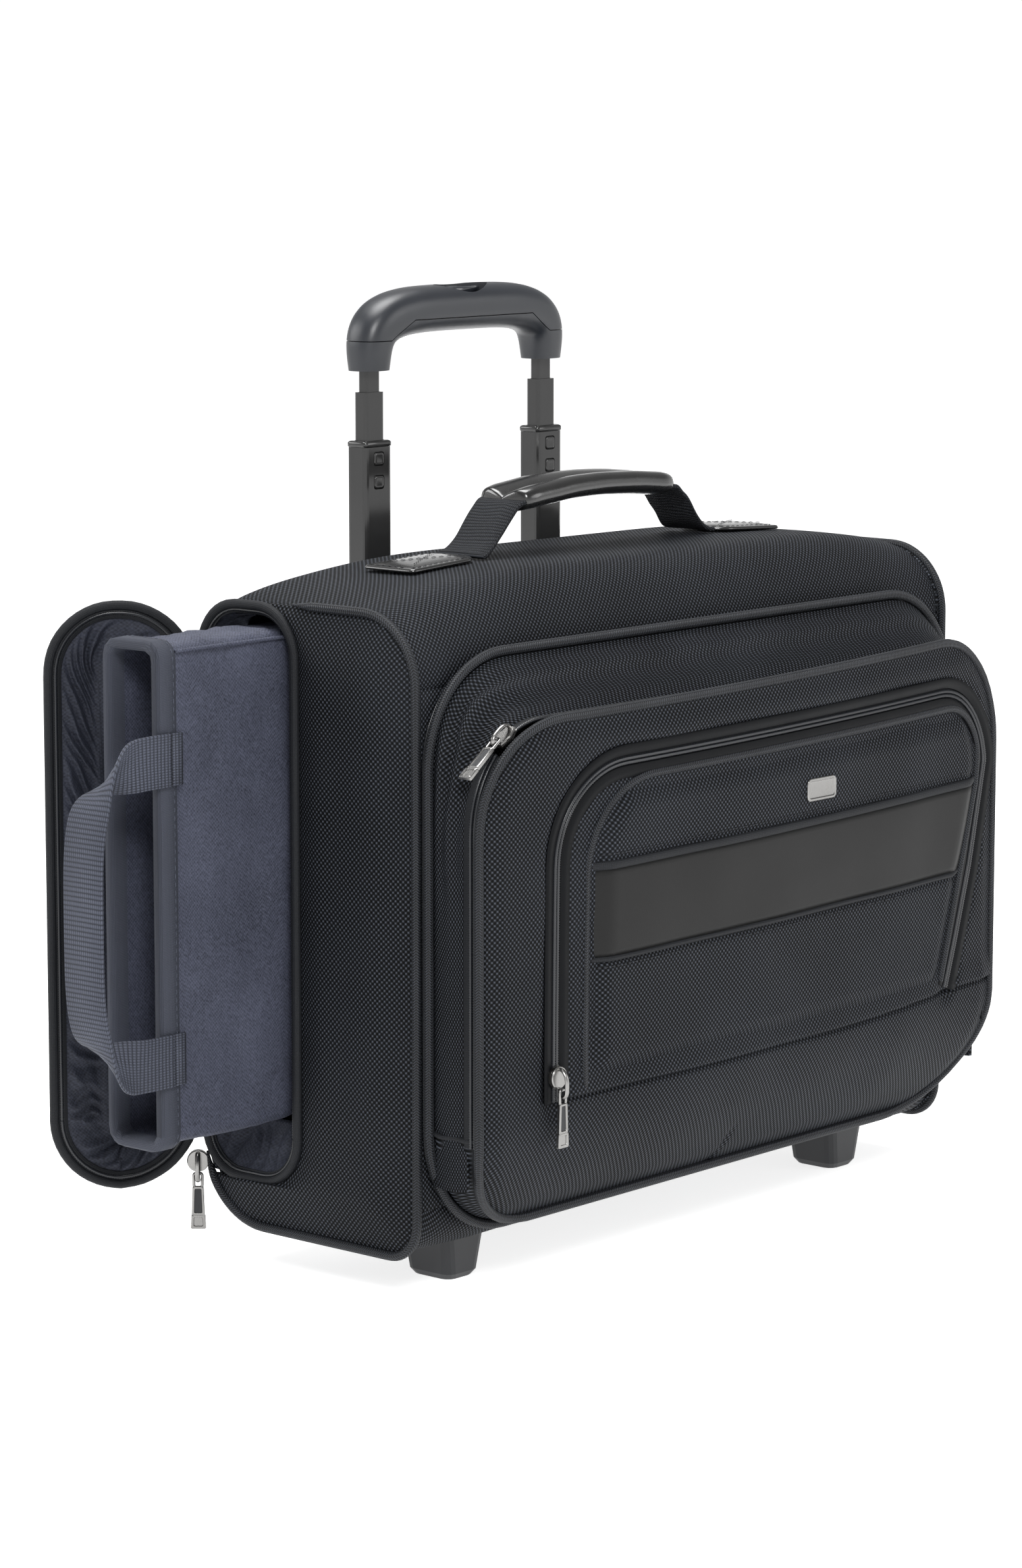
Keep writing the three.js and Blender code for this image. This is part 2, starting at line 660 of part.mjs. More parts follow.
function sleeveBinding() {
  const { mouth, front, back, low, high, binding } = SLEEVE;
  const out = 1.6;
  const outer = roundedOutline(front - out, back + out, low - out, high + out, 5.2, 3);
  const inner = roundedOutline(front - GAP, back + GAP, low - GAP, high + GAP, 4, 3);
  return sidePlate(withHole(outer, inner), mouth, mouth + binding);
}

// A webbing loop: its ends lie flat on the sleeve's front, and it turns edge-on between them.
const LOOP = { x: -290, y: 84.1, low: 122, high: 267, reach: 58, width: 25, thickness: 1.8 };

function webbingLoop() {
  const { x, y, low, high, reach, width, thickness } = LOOP;
  const centre = (t) => {
    const angle = Math.PI * t;
    const round = (Math.cos(angle) ** 4 + Math.sin(angle) ** 4) ** -0.25;
    const height = ((high - low) / 2) * Math.cos(angle) * round;
    return new THREE.Vector3(x - reach * Math.sin(angle) * round, y, (low + high) / 2 + height);
  };
  const at = (lift) => (u, v) => {
    const along = centre(Math.min(1, v + 0.01)).sub(centre(Math.max(0, v - 0.01))).normalize();
    const twist = THREE.MathUtils.smoothstep(Math.min(v, 1 - v), 0.1, 0.3) * (Math.PI / 2);
    const inPlane = along.clone().cross(ALONG_Y).normalize();
    const across = inPlane.multiplyScalar(Math.cos(twist)).addScaledVector(ALONG_Y, Math.sin(twist));
    const normal = across.clone().cross(along);
    const point = centre(v).addScaledVector(across, (u - 0.5) * width);
    return point.addScaledVector(normal, lift * thickness / 2).toArray();
  };
  return sheet(2, 28, at(1), at(-1));
}

// The broad panels stop short of the gusset's outer faces, which softens the sleeve's long edges.
function sleevePanel(y) {
  const { mouth, end, low, high, wall } = SLEEVE;
  return block(mouth, end, y, y + wall, low + wall, high - wall);
}

function sleeve() {
  const { front, back, wall } = SLEEVE;
  return [
    piece("sleeve_front_panel", sleevePanel(front), "lining"),
    piece("sleeve_back_panel", sleevePanel(back - wall), "lining"),
    piece("sleeve_gusset", sleeveGusset(), "lining"),
    piece("sleeve_mouth_binding", sleeveBinding(), "lining_webbing"),
    piece("sleeve_handle", webbingLoop(), "lining_webbing"),
  ];
}

// ---- The carry handle -------------------------------------------------------------------------------
function handlePatch(side) {
  const outline = roundedOutline(-26, 26, -17, 17, [2, 12, 12, 2], 4);
  const centre = side * (HANDLE.halfSpan + 28);
  const rest = SHOULDER + crownAt(centre, SHOULDER) + GAP + 0.6;
  const patch = extrude(shapeOf(outline), 2.2);
  return patch.rotateZ(side > 0 ? Math.PI : 0).translate(centre, HANDLE.y, rest);
}

// Height of the strap's middle line at x.
function strapHeight(x) {
  const { halfSpan, base, rise } = HANDLE;
  return base + rise * (1 - (Math.abs(x) / halfSpan) ** 3.2);
}

function strap(halfWidth, from, to, thickness, lift) {
  const at = (side) => (u, v) => {
    const x = lerp(from, to, u);
    return [x, HANDLE.y + lerp(-halfWidth, halfWidth, v), strapHeight(x) + lift + side * thickness];
  };
  return sheet(20, 1, at(1), at(0));
}

// The grip is a leather wrap whose long edges roll up over the strap.
function handleWrap() {
  const rings = Array.from({ length: 11 }, (_, i) => {
    const x = lerp(-HANDLE.halfGrip, HANDLE.halfGrip, i / 10);
    const z = strapHeight(x);
    const low = arc(0, 0, 1, 180, 360, 8).map(([a, b]) => [a * 17, b * 5 - 0.5]);
    const high = [
      [17, 3.4],
      [12, 6.2],
      [5, 5.2],
      [0, 3.2],
      [-5, 5.2],
      [-12, 6.2],
      [-17, 3.4],
    ];
    return [...low, ...high].map(([y, lift]) => new THREE.Vector3(x, HANDLE.y + y, z + lift + 1.2));
  });
  return loft(rings);
}

function carryHandle() {
  const { halfSpan, halfGrip, width } = HANDLE;
  const webbing = strap(width / 2, -halfSpan, halfSpan, 2.4, 0);
  const bore = strap(width / 2 + GAP, -halfGrip - 5, halfGrip + 5, 2.4 + 2 * GAP, -GAP);
  return [
    piece("handle_patch_left", handlePatch(-1), "gloss_leather"),
    piece("handle_patch_right", handlePatch(1), "gloss_leather"),
    piece("handle_webbing", webbing, "webbing"),
    piece("handle_grip", cut(handleWrap(), bore), "gloss_leather"),
  ];
}

// ---- The telescoping handle -------------------------------------------------------------------------
function tube(width, depth, wall, low, high, radius) {
  const outer = roundedOutline(-width / 2, width / 2, -depth / 2, depth / 2, radius, 3);
  const inner = outer.map(([a, b]) => [(a * (width - 2 * wall)) / width, (b * (depth - 2 * wall)) / depth]);
  return extrude(withHole(outer, inner), high - low).translate(0, TUBE_Y, low);
}

// Two windows near the outer tube's top show the tabs of the plastic plug inside it.
const TAB_HEIGHTS = [391, 379];
const TAB = { width: 7, height: 6.5 };
const OUTER = { width: 20, depth: 13.4, wall: 1, low: 130, high: 397 };

function window(extra, front, back, z) {
  const half = TAB.width / 2 + extra;
  const rise = TAB.height / 2 + extra;
  const outline = roundedOutline(-half, half, z - rise, z + rise, 1.4, 2);
  return frontPlate(shapeOf(outline), front, back);
}

function outerTube() {
  const { width, depth, wall, low, high } = OUTER;
  const front = TUBE_Y - depth / 2;
  const windows = TAB_HEIGHTS.map((z) => window(GAP, front - 1, front + wall + 1, z));
  return cut(tube(width, depth, wall, low, high, 2.4), ...windows);
}

function outerPlug() {
  const front = TUBE_Y - OUTER.depth / 2;
  const collar = extrude(
    withHole(roundedOutline(-10.7, 10.7, -7.4, 7.4, 2.6, 3), roundedOutline(-7.4, 7.4, -4.6, 4.6, 1.4, 2)),
    3.4,
  ).translate(0, TUBE_Y, OUTER.high + GAP);
  const tongue = block(-5, 5, front + 1.3, front + 2.1, 372, OUTER.high + 2);
  const tabs = TAB_HEIGHTS.map((z) => window(0, front - 0.3, front + 1.4, z));
  return united(collar, tongue, ...tabs);
}

// Each stage is drawn at the middle plane and copied to both sides.
function pair(name, geometry, look) {
  return [
    piece(name + "_left", geometry.clone().translate(-TUBE_X, 0, 0), look),
    piece(name + "_right", geometry.clone().translate(TUBE_X, 0, 0), look),
  ];
}

// Centre line of the grip, from the foot of the left leg over the bar to the foot of the right leg.
function gripCentre(angle) {
  const round = (Math.cos(angle) ** 4 + Math.sin(angle) ** 4) ** -0.25;
  const height = GRIP.barCentre - GRIP.legBottom;
  return new THREE.Vector3(
    -GRIP.halfSpan * Math.cos(angle) * round,
    TUBE_Y,
    GRIP.legBottom + height * Math.sin(angle) * round,
  );
}

function gripBody() {
  const steps = 28;
  const rings = Array.from({ length: steps + 1 }, (_, i) => {
    const angle = (Math.PI * i) / steps;
    const bar = Math.min(1, Math.sin(angle) * 1.15);
    const along = gripCentre(angle + 0.01).sub(gripCentre(angle - 0.01)).normalize();
    if (i === 0 || i === steps) along.set(0, 0, i ? -1 : 1);
    const across = along.clone().cross(ALONG_Y).normalize();
    const halfThick = lerp(10.5, 12, bar);
    const halfDeep = lerp(9, 13.5, bar);
    return ring(14, 1).map(([a, b]) => {
      const square = (Math.abs(a) ** 2.6 + Math.abs(b) ** 2.6) ** (-1 / 2.6);
      return gripCentre(angle)
        .addScaledVector(across, a * square * halfThick)
        .addScaledVector(ALONG_Y, b * square * halfDeep);
    });
  });
  return loft(rings);
}

// Everything below the parting line: low on the legs, higher under the bar.
function belowParting(shift) {
  const outline = [
    [-100, 400],
    [100, 400],
    [100, 451 + shift],
    [62, 451 + shift],
    [46, 461 + shift],
    [-46, 461 + shift],
    [-62, 451 + shift],
    [-100, 451 + shift],
  ];
  return frontPlate(shapeOf(outline), TUBE_Y - 30, TUBE_Y + 30);
}

// A lens outline: two shallow arcs that meet at both ends.
function lens(halfLength, halfWidth) {
  const radius = (halfLength ** 2 + halfWidth ** 2) / (2 * halfWidth);
  const half = THREE.MathUtils.radToDeg(Math.asin(halfLength / radius));
  return [
    ...arc(0, halfWidth - radius, radius, 90 - half, 90 + half, 8),
    ...arc(0, radius - halfWidth, radius, 270 - half, 270 + half, 8).slice(1, -1),
  ];
}

function grip() {
  const body = gripBody();
  const sockets = [-1, 1].map((side) =>
    block(side * TUBE_X - 5.6, side * TUBE_X + 5.6, TUBE_Y - 3.4, TUBE_Y + 3.4, 430, 448.5),
  );
  const recess = extrude(shapeOf(lens(19.5, 6.5)), 20).translate(0, TUBE_Y, 469);
  const button = extrude(shapeOf(lens(18, 5.6)), 4.2).translate(0, TUBE_Y, 472.2);
  const lower = cut(shared(body, belowParting(0)), ...sockets);
  return [
    piece("grip_lower_shell", lower, "grip_plastic"),
    piece("grip_upper_shell", cut(body, belowParting(0.3), recess), "grip_plastic"),
    piece("release_button", button, "gloss_plastic"),
  ];
}

// The fabric cover that hides the guide tubes on the back.
function trolleyCover() {
  const wall = 2.4;
  const back = TUBE_Y + 12.6;
  const half = 94;
  const outline = [
    [-half, DEPTH + GAP],
    ...arc(-half + 14, back - 14, 14, 180, 90, 4),
    ...arc(half - 14, back - 14, 14, 90, 0, 4),
    [half, DEPTH + GAP],
    [half - wall, DEPTH + GAP],
    ...arc(half - 14, back - 14, 14 - wall, 0, 90, 4),
    ...arc(-half + 14, back - 14, 14 - wall, 90, 180, 4),
    [-half + wall, DEPTH + GAP],
  ];
  return extrude(shapeOf(outline), 258).translate(0, 0, 60);
}

function trolley() {
  return [
    piece("trolley_cover", trolleyCover(), "nylon"),
    ...pair("guide_tube", tube(26, 18, 1.8, 54, 332, 3), "tube"),
    ...pair("outer_tube", outerTube(), "tube"),
    ...pair("outer_tube_plug", outerPlug(), "gloss_plastic"),
    ...pair("middle_tube", tube(14, 8.6, 1, 165, 425, 1.8), "tube"),
    ...pair("inner_tube", tube(10.4, 6, 1, 205, 448, 1.4), "tube"),
    ...grip(),
  ];
}

// ---- Chassis, wheels and feet -----------------------------------------------------------------------
function cylinderAlongX(radius, from, to, sides) {
  return new THREE.CylinderGeometry(radius, radius, to - from, sides)
    .rotateZ(Math.PI / 2)
    .translate((from + to) / 2, AXLE.y, AXLE.z);
}

// A moulded beam under the guide tubes, with the wheels' axle through it.
function baseBeam() {
  const outline = [
    [DEPTH + 1.5, 52],
    [AXLE.y + 18, 52],
    [AXLE.y + 18, 34],
    ...arc(AXLE.y, AXLE.z, 10, 30, -150, 6),
    [DEPTH + 1.5, 36],
  ];
  const beam = sidePlate(shapeOf(outline), -WHEEL.inner + 2.4, WHEEL.inner - 2.4);
  const axle = cylinderAlongX(AXLE.radius, -WHEEL.outer - 1, WHEEL.outer + 1, 24);
  const caps = [-1, 1].map((side) => {
    const near = WHEEL.outer + 0.6;
    const far = WHEEL.outer + 2.4;
    return side > 0 ? cylinderAlongX(7, near, far, 24) : cylinderAlongX(7, -far, -near, 24);
  });
  return united(beam, axle, ...caps);
}

function wheel(side) {
  const { radius, inner, outer, bore } = WHEEL;
  const width = outer - inner;
  const half = width / 2;
  const profile = [
    [bore, -half],
    [radius - 8, -half],
    [radius - 8, -half + 1.5],
    [radius - 3, -half + 1.5],
    [radius, -half + 5],
    [radius, half - 5],
    [radius - 3, half - 1.5],
    [radius - 8, half - 1.5],
    [radius - 8, half],
    [bore, half],
    [bore, -half],
  ];
  const lathe = new THREE.LatheGeometry(profile.map(([r, a]) => new THREE.Vector2(r, a)), 24);
  return lathe.rotateZ(Math.PI / 2).translate(side * (inner + half), AXLE.y, AXLE.z);
}

const FOOT = { x: 155, y: 33.5, height: BOTTOM - 0.4 };

// A tapered block with rounded upright edges.
function foot(side) {
  const levels = [
    [0, 19, 25],
    [3, 23, 29],
    [FOOT.height, 29, 32],
  ];
  const rings = levels.map(([z, width, depth]) =>
    roundedOutline(-width / 2, width / 2, -depth / 2, depth / 2, 5, 3).map(
      ([a, b]) => new THREE.Vector3(side * FOOT.x + a, FOOT.y + b, z),
    ),
  );
  return loft(rings);
}

function chassis() {
  return [
    piece("base_beam", baseBeam(), "chassis_plastic"),
    piece("wheel_left", wheel(-1), "rubber"),
    piece("wheel_right", wheel(1), "rubber"),
    piece("foot_left", foot(-1), "chassis_plastic"),
    piece("foot_right", foot(1), "chassis_plastic"),
  ];
}

// ---- Assembly ---------------------------------------------------------------------------------------
const bag = new THREE.Group();
bag.add(...shell(), ...organiser(), ...zipPulls(), ...door(), ...sleeve());
bag.add(...carryHandle(), ...trolley(), ...chassis());

// The part's origin is the middle of its outer box, on the floor.
const box = new THREE.Box3().setFromObject(bag);
bag.position.set(-(box.min.x + box.max.x) / 2, -(box.min.y + box.max.y) / 2, -box.min.z);

const rollingCase = new THREE.Group();
rollingCase.name = "rolling_laptop_case";
rollingCase.add(bag);

export default rollingCase;
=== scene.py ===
"""The looks of a rolling laptop case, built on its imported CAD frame."""

import math

import bmesh
import bpy
from mathutils import Matrix, Vector, kdtree, noise


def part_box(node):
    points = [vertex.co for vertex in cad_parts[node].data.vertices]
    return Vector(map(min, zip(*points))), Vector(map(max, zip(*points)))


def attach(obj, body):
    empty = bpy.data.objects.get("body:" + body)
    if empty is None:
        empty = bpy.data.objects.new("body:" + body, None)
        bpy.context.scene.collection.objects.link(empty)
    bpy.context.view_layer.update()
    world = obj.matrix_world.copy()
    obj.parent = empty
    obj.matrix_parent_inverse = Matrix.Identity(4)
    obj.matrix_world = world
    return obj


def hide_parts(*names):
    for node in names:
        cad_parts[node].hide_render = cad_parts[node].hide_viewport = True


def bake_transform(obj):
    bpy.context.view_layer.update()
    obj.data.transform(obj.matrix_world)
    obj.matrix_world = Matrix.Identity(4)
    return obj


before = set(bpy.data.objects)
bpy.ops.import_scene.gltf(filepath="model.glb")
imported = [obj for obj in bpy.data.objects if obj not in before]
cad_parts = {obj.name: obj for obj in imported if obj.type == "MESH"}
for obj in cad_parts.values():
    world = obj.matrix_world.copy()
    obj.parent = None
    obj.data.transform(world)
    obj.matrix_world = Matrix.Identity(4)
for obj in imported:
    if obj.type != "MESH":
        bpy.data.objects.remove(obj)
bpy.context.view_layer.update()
MM = 0.001

# ---- Places taken from the frame, in millimetres ----
# Shapes are drawn in the case's own axes: X 0 halfway across, Y 0 at the body's front, Z 0 on the floor.


def box_mm(node):
    """A CAD node's lowest and highest corners in the case's own axes, in millimetres."""
    low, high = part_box(node)
    return (low - ORIGIN) / MM, (high - ORIGIN) / MM


DEPTH = 142
left_low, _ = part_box("left_end_panel")
_, right_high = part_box("right_end_panel")
ORIGIN = Vector(((left_low.x + right_high.x) / 2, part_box("back_panel")[1].y - DEPTH * MM, 0))
HALF_WIDTH = (right_high.x - left_low.x) / 2 / MM
BOTTOM = box_mm("left_end_panel")[0].z
SHOULDER = box_mm("left_end_panel")[1].z
CROWN = box_mm("top_panel")[1].z - SHOULDER
FRONT_TOP, REAR_TOP, REAR_BOTTOM, FRONT_BOTTOM = 34, 28, 40, 18
BODY_MIDDLE = (0, DEPTH / 2, 180)
BAY = 78  # where the laptop compartment starts
SLEEVE_MOUTH, SLEEVE_END = -296, 104
SLEEVE_FRONT, SLEEVE_BACK, SLEEVE_LOW, SLEEVE_HIGH = 87, 122, 78, 322
SLEEVE_Y = (SLEEVE_FRONT + SLEEVE_BACK) / 2
CORD_RADIUS = 2.4  # the edging's
EDGE_IN = 1.2  # how far the side panels' edges stay inside the end panels'
UP, ACROSS, AHEAD = Vector((0, 0, 1)), Vector((1, 0, 0)), Vector((0, -1, 0))


# ---- Outlines ----
def lerp(a, b, t):
    return a + (b - a) * t


def clamp(x, low=0.0, high=1.0):
    return min(high, max(low, x))


def smooth(x, low=0.0, high=1.0):
    t = clamp((x - low) / (high - low))
    return t * t * (3 - 2 * t)


def hump(x, width, power=2):
    """1 where x is 0, falling away to nothing over about `width` on either side."""
    return math.exp(-((x / width) ** power))


def fractions(count):
    """0 to 1 in `count` even steps."""
    return [k / count for k in range(count + 1)]


def ease(t):
    """0 to 1 in smaller steps near both ends, where an outline turns."""
    return (1 - math.cos(math.pi * t)) / 2


def arc(a, b, radius, start, end, steps=10):
    angles = [math.radians(lerp(start, end, i / steps)) for i in range(steps + 1)]
    return [(a + radius * math.cos(t), b + radius * math.sin(t)) for t in angles]


def rounded(left, right, low, high, radii, steps=10):
    """A rounded rectangle; radii run bottom left, bottom right, top right, top left."""
    r = radii if isinstance(radii, (list, tuple)) else [radii] * 4
    return (
        arc(left + r[0], low + r[0], r[0], 180, 270, steps)
        + arc(right - r[1], low + r[1], r[1], 270, 360, steps)
        + arc(right - r[2], high - r[2], r[2], 0, 90, steps)
        + arc(left + r[3], high - r[3], r[3], 90, 180, steps)
    )


def resample(points, step, closed=False, count=None):
    """Evenly spaced points about `step` apart along a line, or exactly `count` spans."""
    pts = [Vector(p) for p in points]
    if closed:
        pts.append(pts[0])
    lengths = [0.0]
    for a, b in zip(pts, pts[1:]):
        lengths.append(lengths[-1] + (b - a).length)
    total = lengths[-1]
    count = count or max(2, round(total / step))
    out, k = [], 0
    for i in range(count + (0 if closed else 1)):
        at = total * i / count
        while k < len(pts) - 2 and lengths[k + 1] < at:
            k += 1
        span = lengths[k + 1] - lengths[k]
        out.append(pts[k].lerp(pts[k + 1], (at - lengths[k]) / span if span else 0))
    return out


def resample_to(points, count):
    """Exactly `count` evenly spaced points round a closed outline."""
    return resample(points, 1, True, count)


def spline(points, per_span=8):
    """A Catmull-Rom curve through the points."""
    pts = [Vector(p) for p in points]
    pts = [2 * pts[0] - pts[1]] + pts + [2 * pts[-1] - pts[-2]]
    out = []
    for p0, p1, p2, p3 in zip(pts, pts[1:], pts[2:], pts[3:]):
        for i in range(per_span):
            t = i / per_span
            a = 2 * p1 + (p2 - p0) * t + (2 * p0 - 5 * p1 + 4 * p2 - p3) * t**2
            out.append((a + (3 * p1 - p0 - 3 * p2 + p3) * t**3) / 2)
    return out + [pts[-2]]


def wrinkle(p, size, depth, seed=0):
    """A soft random dent, for fabric that isn't quite flat."""
    return depth * noise.noise(Vector(p) / size + Vector((seed * 7.3, seed * 3.1, seed * 5.7)))


def gathers(i, t, often, seed):
    """Uneven gathers of cloth sewn to a shorter edge, from -1 to 1, sharper in their hollows than on top."""
    along = i * often
    drift = 2.6 * noise.noise(Vector((along * 0.13, t * 0.8, seed)))
    wander = 1.5 * noise.noise(Vector((along * 0.3, t * 2.5, seed + 9)))
    fold = math.sin(along + drift + wander)
    size = 0.6 + 0.8 * noise.noise(Vector((along * 0.21, t * 1.7, seed + 4)))
    return (1 - 2 * abs(fold) ** 1.4) * size


# ---- Meshes ----
class Shape:
    """Vertices, faces and metric UVs in the case's own axes, in millimetres."""

    def __init__(self):
        self.verts, self.faces, self.uvs = [], [], []

    def grid(self, rows, wrap=False, ring=False, uv=None):
        """A surface through rows of points. wrap joins each row's ends; ring joins the last row to the first.

        The joined points are doubled, so that the UVs run on across the join; piece() merges them."""
        if wrap:
            rows = [[*row, row[0]] for row in rows]
        if ring:
            rows = [*rows, rows[0]]
        start, across = len(self.verts), len(rows[0])
        middle = across // 2
        down = 0.0
        for r, row in enumerate(rows):
            if r:
                down += (Vector(row[middle]) - Vector(rows[r - 1][middle])).length
            along = 0.0
            for i, p in enumerate(row):
                if i:
                    along += (Vector(p) - Vector(row[i - 1])).length
                self.verts.append(Vector(p))
                self.uvs.append(uv(Vector(p)) if uv else (along, down))
        for r in range(len(rows) - 1):
            here, there = start + r * across, start + (r + 1) * across
            for i in range(across - 1):
                self.faces.append((here + i, here + i + 1, there + i + 1, there + i))
        return self

    def cap(self, row, uv=None):
        start = len(self.verts)
        self.verts += [Vector(p) for p in row]
        self.uvs += [uv(Vector(p)) if uv else (p[0], p[2]) for p in row]
        self.faces.append(tuple(range(start, start + len(row))))
        return self

    def add(self, other):
        start = len(self.verts)
        self.verts += other.verts
        self.uvs += other.uvs
        self.faces += [tuple(i + start for i in f) for f in other.faces]
        return self

    def moved(self, matrix):
        self.verts = [matrix @ v for v in self.verts]
        return self


def facing_front(p):
    """UVs for a surface that faces forwards."""
    return p.x, p.z


def facing_end(p):
    """UVs for a surface that faces sideways."""
    return p.y, p.z


def lofted(rows):
    """A solid through rings of points, closed at both ends."""
    return Shape().grid(rows, wrap=True).cap(rows[0][::-1]).cap(rows[-1])


def heading(points, i, closed=False):
    """Which way a line runs at its i-th point."""
    before = points[i - 1] if closed or i else points[i]
    after = points[(i + 1) % len(points)] if closed or i < len(points) - 1 else points[i]
    return (after - before).normalized()


def tube(points, radius, sides=10, closed=False, up=UP, flat=1.0):
    """A round cord through points; radius may be a function of the point's number."""
    pts = [Vector(p) for p in points]
    rows = []
    side_before = None
    for i, p in enumerate(pts):
        along = heading(pts, i, closed)
        base = side_before or (up if abs(up.dot(along)) < 0.95 else ACROSS)
        side = (base - along * base.dot(along)).normalized()
        side_before = side
        lift = along.cross(side)
        r = radius(i) if callable(radius) else radius
        ring = []
        for k in range(sides):
            t = 2 * math.pi * k / sides
            ring.append(p + side * (r * math.cos(t)) + lift * (r * flat * math.sin(t)))
        rows.append(ring)
    return Shape().grid(rows, wrap=True, ring=True) if closed else lofted(rows)


def ribbon(points, normals, width, thickness, lift=0.0, closed=False):
    """A flat strip through points, its broad faces turned along the normals."""
    pts = [Vector(p) for p in points]
    h, t = width / 2, thickness / 2
    rows = []
    for i, p in enumerate(pts):
        along = heading(pts, i, closed)
        side = along.cross(Vector(normals[i]).normalized()).normalized()
        n = side.cross(along)
        at = p + n * lift
        rows.append([at + side * a + n * b for a, b in ((-h, -t), (-h, t), (h, t), (h, -t))])
    return Shape().grid(rows, wrap=True, ring=True) if closed else lofted(rows)


def dish(outline, profile, place, cap_first=False):
    """Rings of outline(inset) at each (inset, depth) of the profile, closed over the last one."""
    shape = Shape()
    across = len(outline(profile[0][0]))
    for inset, depth in profile:
        plan = list(outline(inset))
        shape.verts += [place(a, b, depth) for a, b in plan]
        shape.uvs += plan
    last = (len(profile) - 1) * across
    for start in range(0, last, across):
        for i in range(across):
            j = (i + 1) % across
            shape.faces.append((start + i, start + j, start + across + j, start + across + i))
    shape.faces.append(tuple(range(last, last + across)))
    if cap_first:
        shape.faces.append(tuple(range(across))[::-1])
    return shape


def front(a, b, depth):
    """Places an (x, z) outline facing forwards; depth is how far it stands out."""
    return Vector((a, -depth, b))


def dashes(points, normals, length=2.4, gap=1.6, radius=0.2, sink=0.14):
    """Stitches along a line on a surface."""
    shape = Shape()
    fine = 0.5
    pts = resample(points, fine)
    count = len(points)
    step, span = round((length + gap) / fine), round(length / fine)
    swell = (0.5, 0.95, 1, 0.95, 0.5)
    for i in range(0, len(pts) - span, step):
        n = Vector(normals[min(count - 1, int(i / len(pts) * count))]).normalized()
        a, b = pts[i] - n * sink, pts[i + span] - n * sink
        mid = (a + b) / 2 + n * radius
        thread = [a, a.lerp(mid, 0.6), mid, b.lerp(mid, 0.6), b]
        shape.add(tube(thread, lambda k: radius * swell[k], 5))
    return shape


# ---- Node materials ----
class Nodes:
    """Short calls for building a material's nodes."""

    def __init__(self, name):
        self.material = bpy.data.materials.new(name)
        self.material.use_nodes = True
        self.tree = self.material.node_tree
        self.shader = self.tree.nodes["Principled BSDF"]

    def node(self, kind, **inputs):
        n = self.tree.nodes.new(kind)
        for key, value in inputs.items():
            if key.startswith("p_"):
                setattr(n, key[2:], value)
        for key, value in inputs.items():
            if key.startswith("i_"):
                self.feed(n.inputs[int(key[2:])], value)
        return n

    def feed(self, socket, value):
        if isinstance(value, bpy.types.NodeSocket):
            self.tree.links.new(value, socket)
        else:
            socket.default_value = value

    def math(self, operation, a, b=0.0, c=0.0):
        return self.node("ShaderNodeMath", p_operation=operation, i_0=a, i_1=b, i_2=c).outputs[0]

    def uv(self):
        """UVs in millimetres, as (across, along)."""
        xyz = self.node("ShaderNodeSeparateXYZ", i_0=self.node("ShaderNodeUVMap").outputs[0])
        return xyz.outputs[0], xyz.outputs[1]

    def place(self):
        return self.node("ShaderNodeTexCoord").outputs["Object"]

    def noise(self, scale, detail=2.0, roughness=0.5, vector=None):
        n = self.node("ShaderNodeTexNoise")
        self.feed(n.inputs["Vector"], vector or self.place())
        n.inputs["Scale"].default_value = scale
        n.inputs["Detail"].default_value = detail
        n.inputs["Roughness"].default_value = roughness
        return n.outputs["Fac"]

    def ramp(self, value, low, high, out_low, out_high):
        n = self.node("ShaderNodeMapRange", i_0=value, i_1=low, i_2=high, i_3=out_low, i_4=out_high)
        return n.outputs[0]

    def mix(self, factor, a, b):
        n = self.node("ShaderNodeMix", p_data_type="RGBA")
        self.feed(n.inputs[0], factor)
        self.feed(n.inputs[6], a)
        self.feed(n.inputs[7], b)
        return n.outputs[2]

    def bump(self, height, distance, normal=None, strength=1.0):
        n = self.node("ShaderNodeBump")
        n.inputs["Strength"].default_value = strength
        n.inputs["Distance"].default_value = distance
        self.feed(n.inputs["Height"], height)
        if normal:
            self.feed(n.inputs["Normal"], normal)
        return n.outputs[0]

    def set(self, **values):
        names = {"color": "Base Color", "rough": "Roughness", "metal": "Metallic", "normal": "Normal"}
        names |= {"coat": "Coat Weight", "coat_rough": "Coat Roughness", "specular": "Specular IOR Level"}
        for key, value in values.items():
            self.feed(self.shader.inputs[names[key]], value)
        return self.material


def wave(n, value, pitch, phase=0.0):
    """A sine of a length in millimetres, from -1 to 1."""
    return n.math("SINE", n.math("MULTIPLY_ADD", value, 2 * math.pi / pitch, phase))


def grey(level, tint=(1.0, 1.0, 1.0)):
    return (level * tint[0], level * tint[1], level * tint[2], 1.0)


COOL = (0.86, 0.96, 1.18)


def basket_weave(name, dark, light, pitch, depth, rough=0.46, tint=COOL):
    """Ballistic nylon: small raised threads in a checkered weave, which read as slanting ribs from afar."""
    n = Nodes(name)
    u, v = n.uv()
    drift = n.math("MULTIPLY", n.math("SUBTRACT", n.noise(14, 2), 0.5), 1.5)
    rows, columns = (wave(n, n.math("ADD", way, drift), pitch) for way in (u, v))
    height = n.math("MULTIPLY_ADD", n.math("MULTIPLY", rows, columns), 0.5, 0.5)
    cloud = n.noise(9, 3, 0.6)
    # Its colour follows the threads' height, near black in the gaps and light on their tops: painted shade
    # and painted highlight; the cloud varies the tone at random.
    level = n.math("MULTIPLY_ADD", n.math("SUBTRACT", cloud, 0.5), 0.2, n.math("POWER", height, 3.4))
    color = n.mix(n.ramp(level, 0, 1.0, 0, 1), grey(dark, tint), grey(light, tint))
    fine = n.bump(n.noise(2600, 1), 0.00002, strength=0.4)
    normal = n.bump(height, depth * MM, fine)
    rough_map = n.ramp(height, 0, 1, rough + 0.3, rough)
    return n.set(color=color, rough=rough_map, normal=normal, specular=0.12)


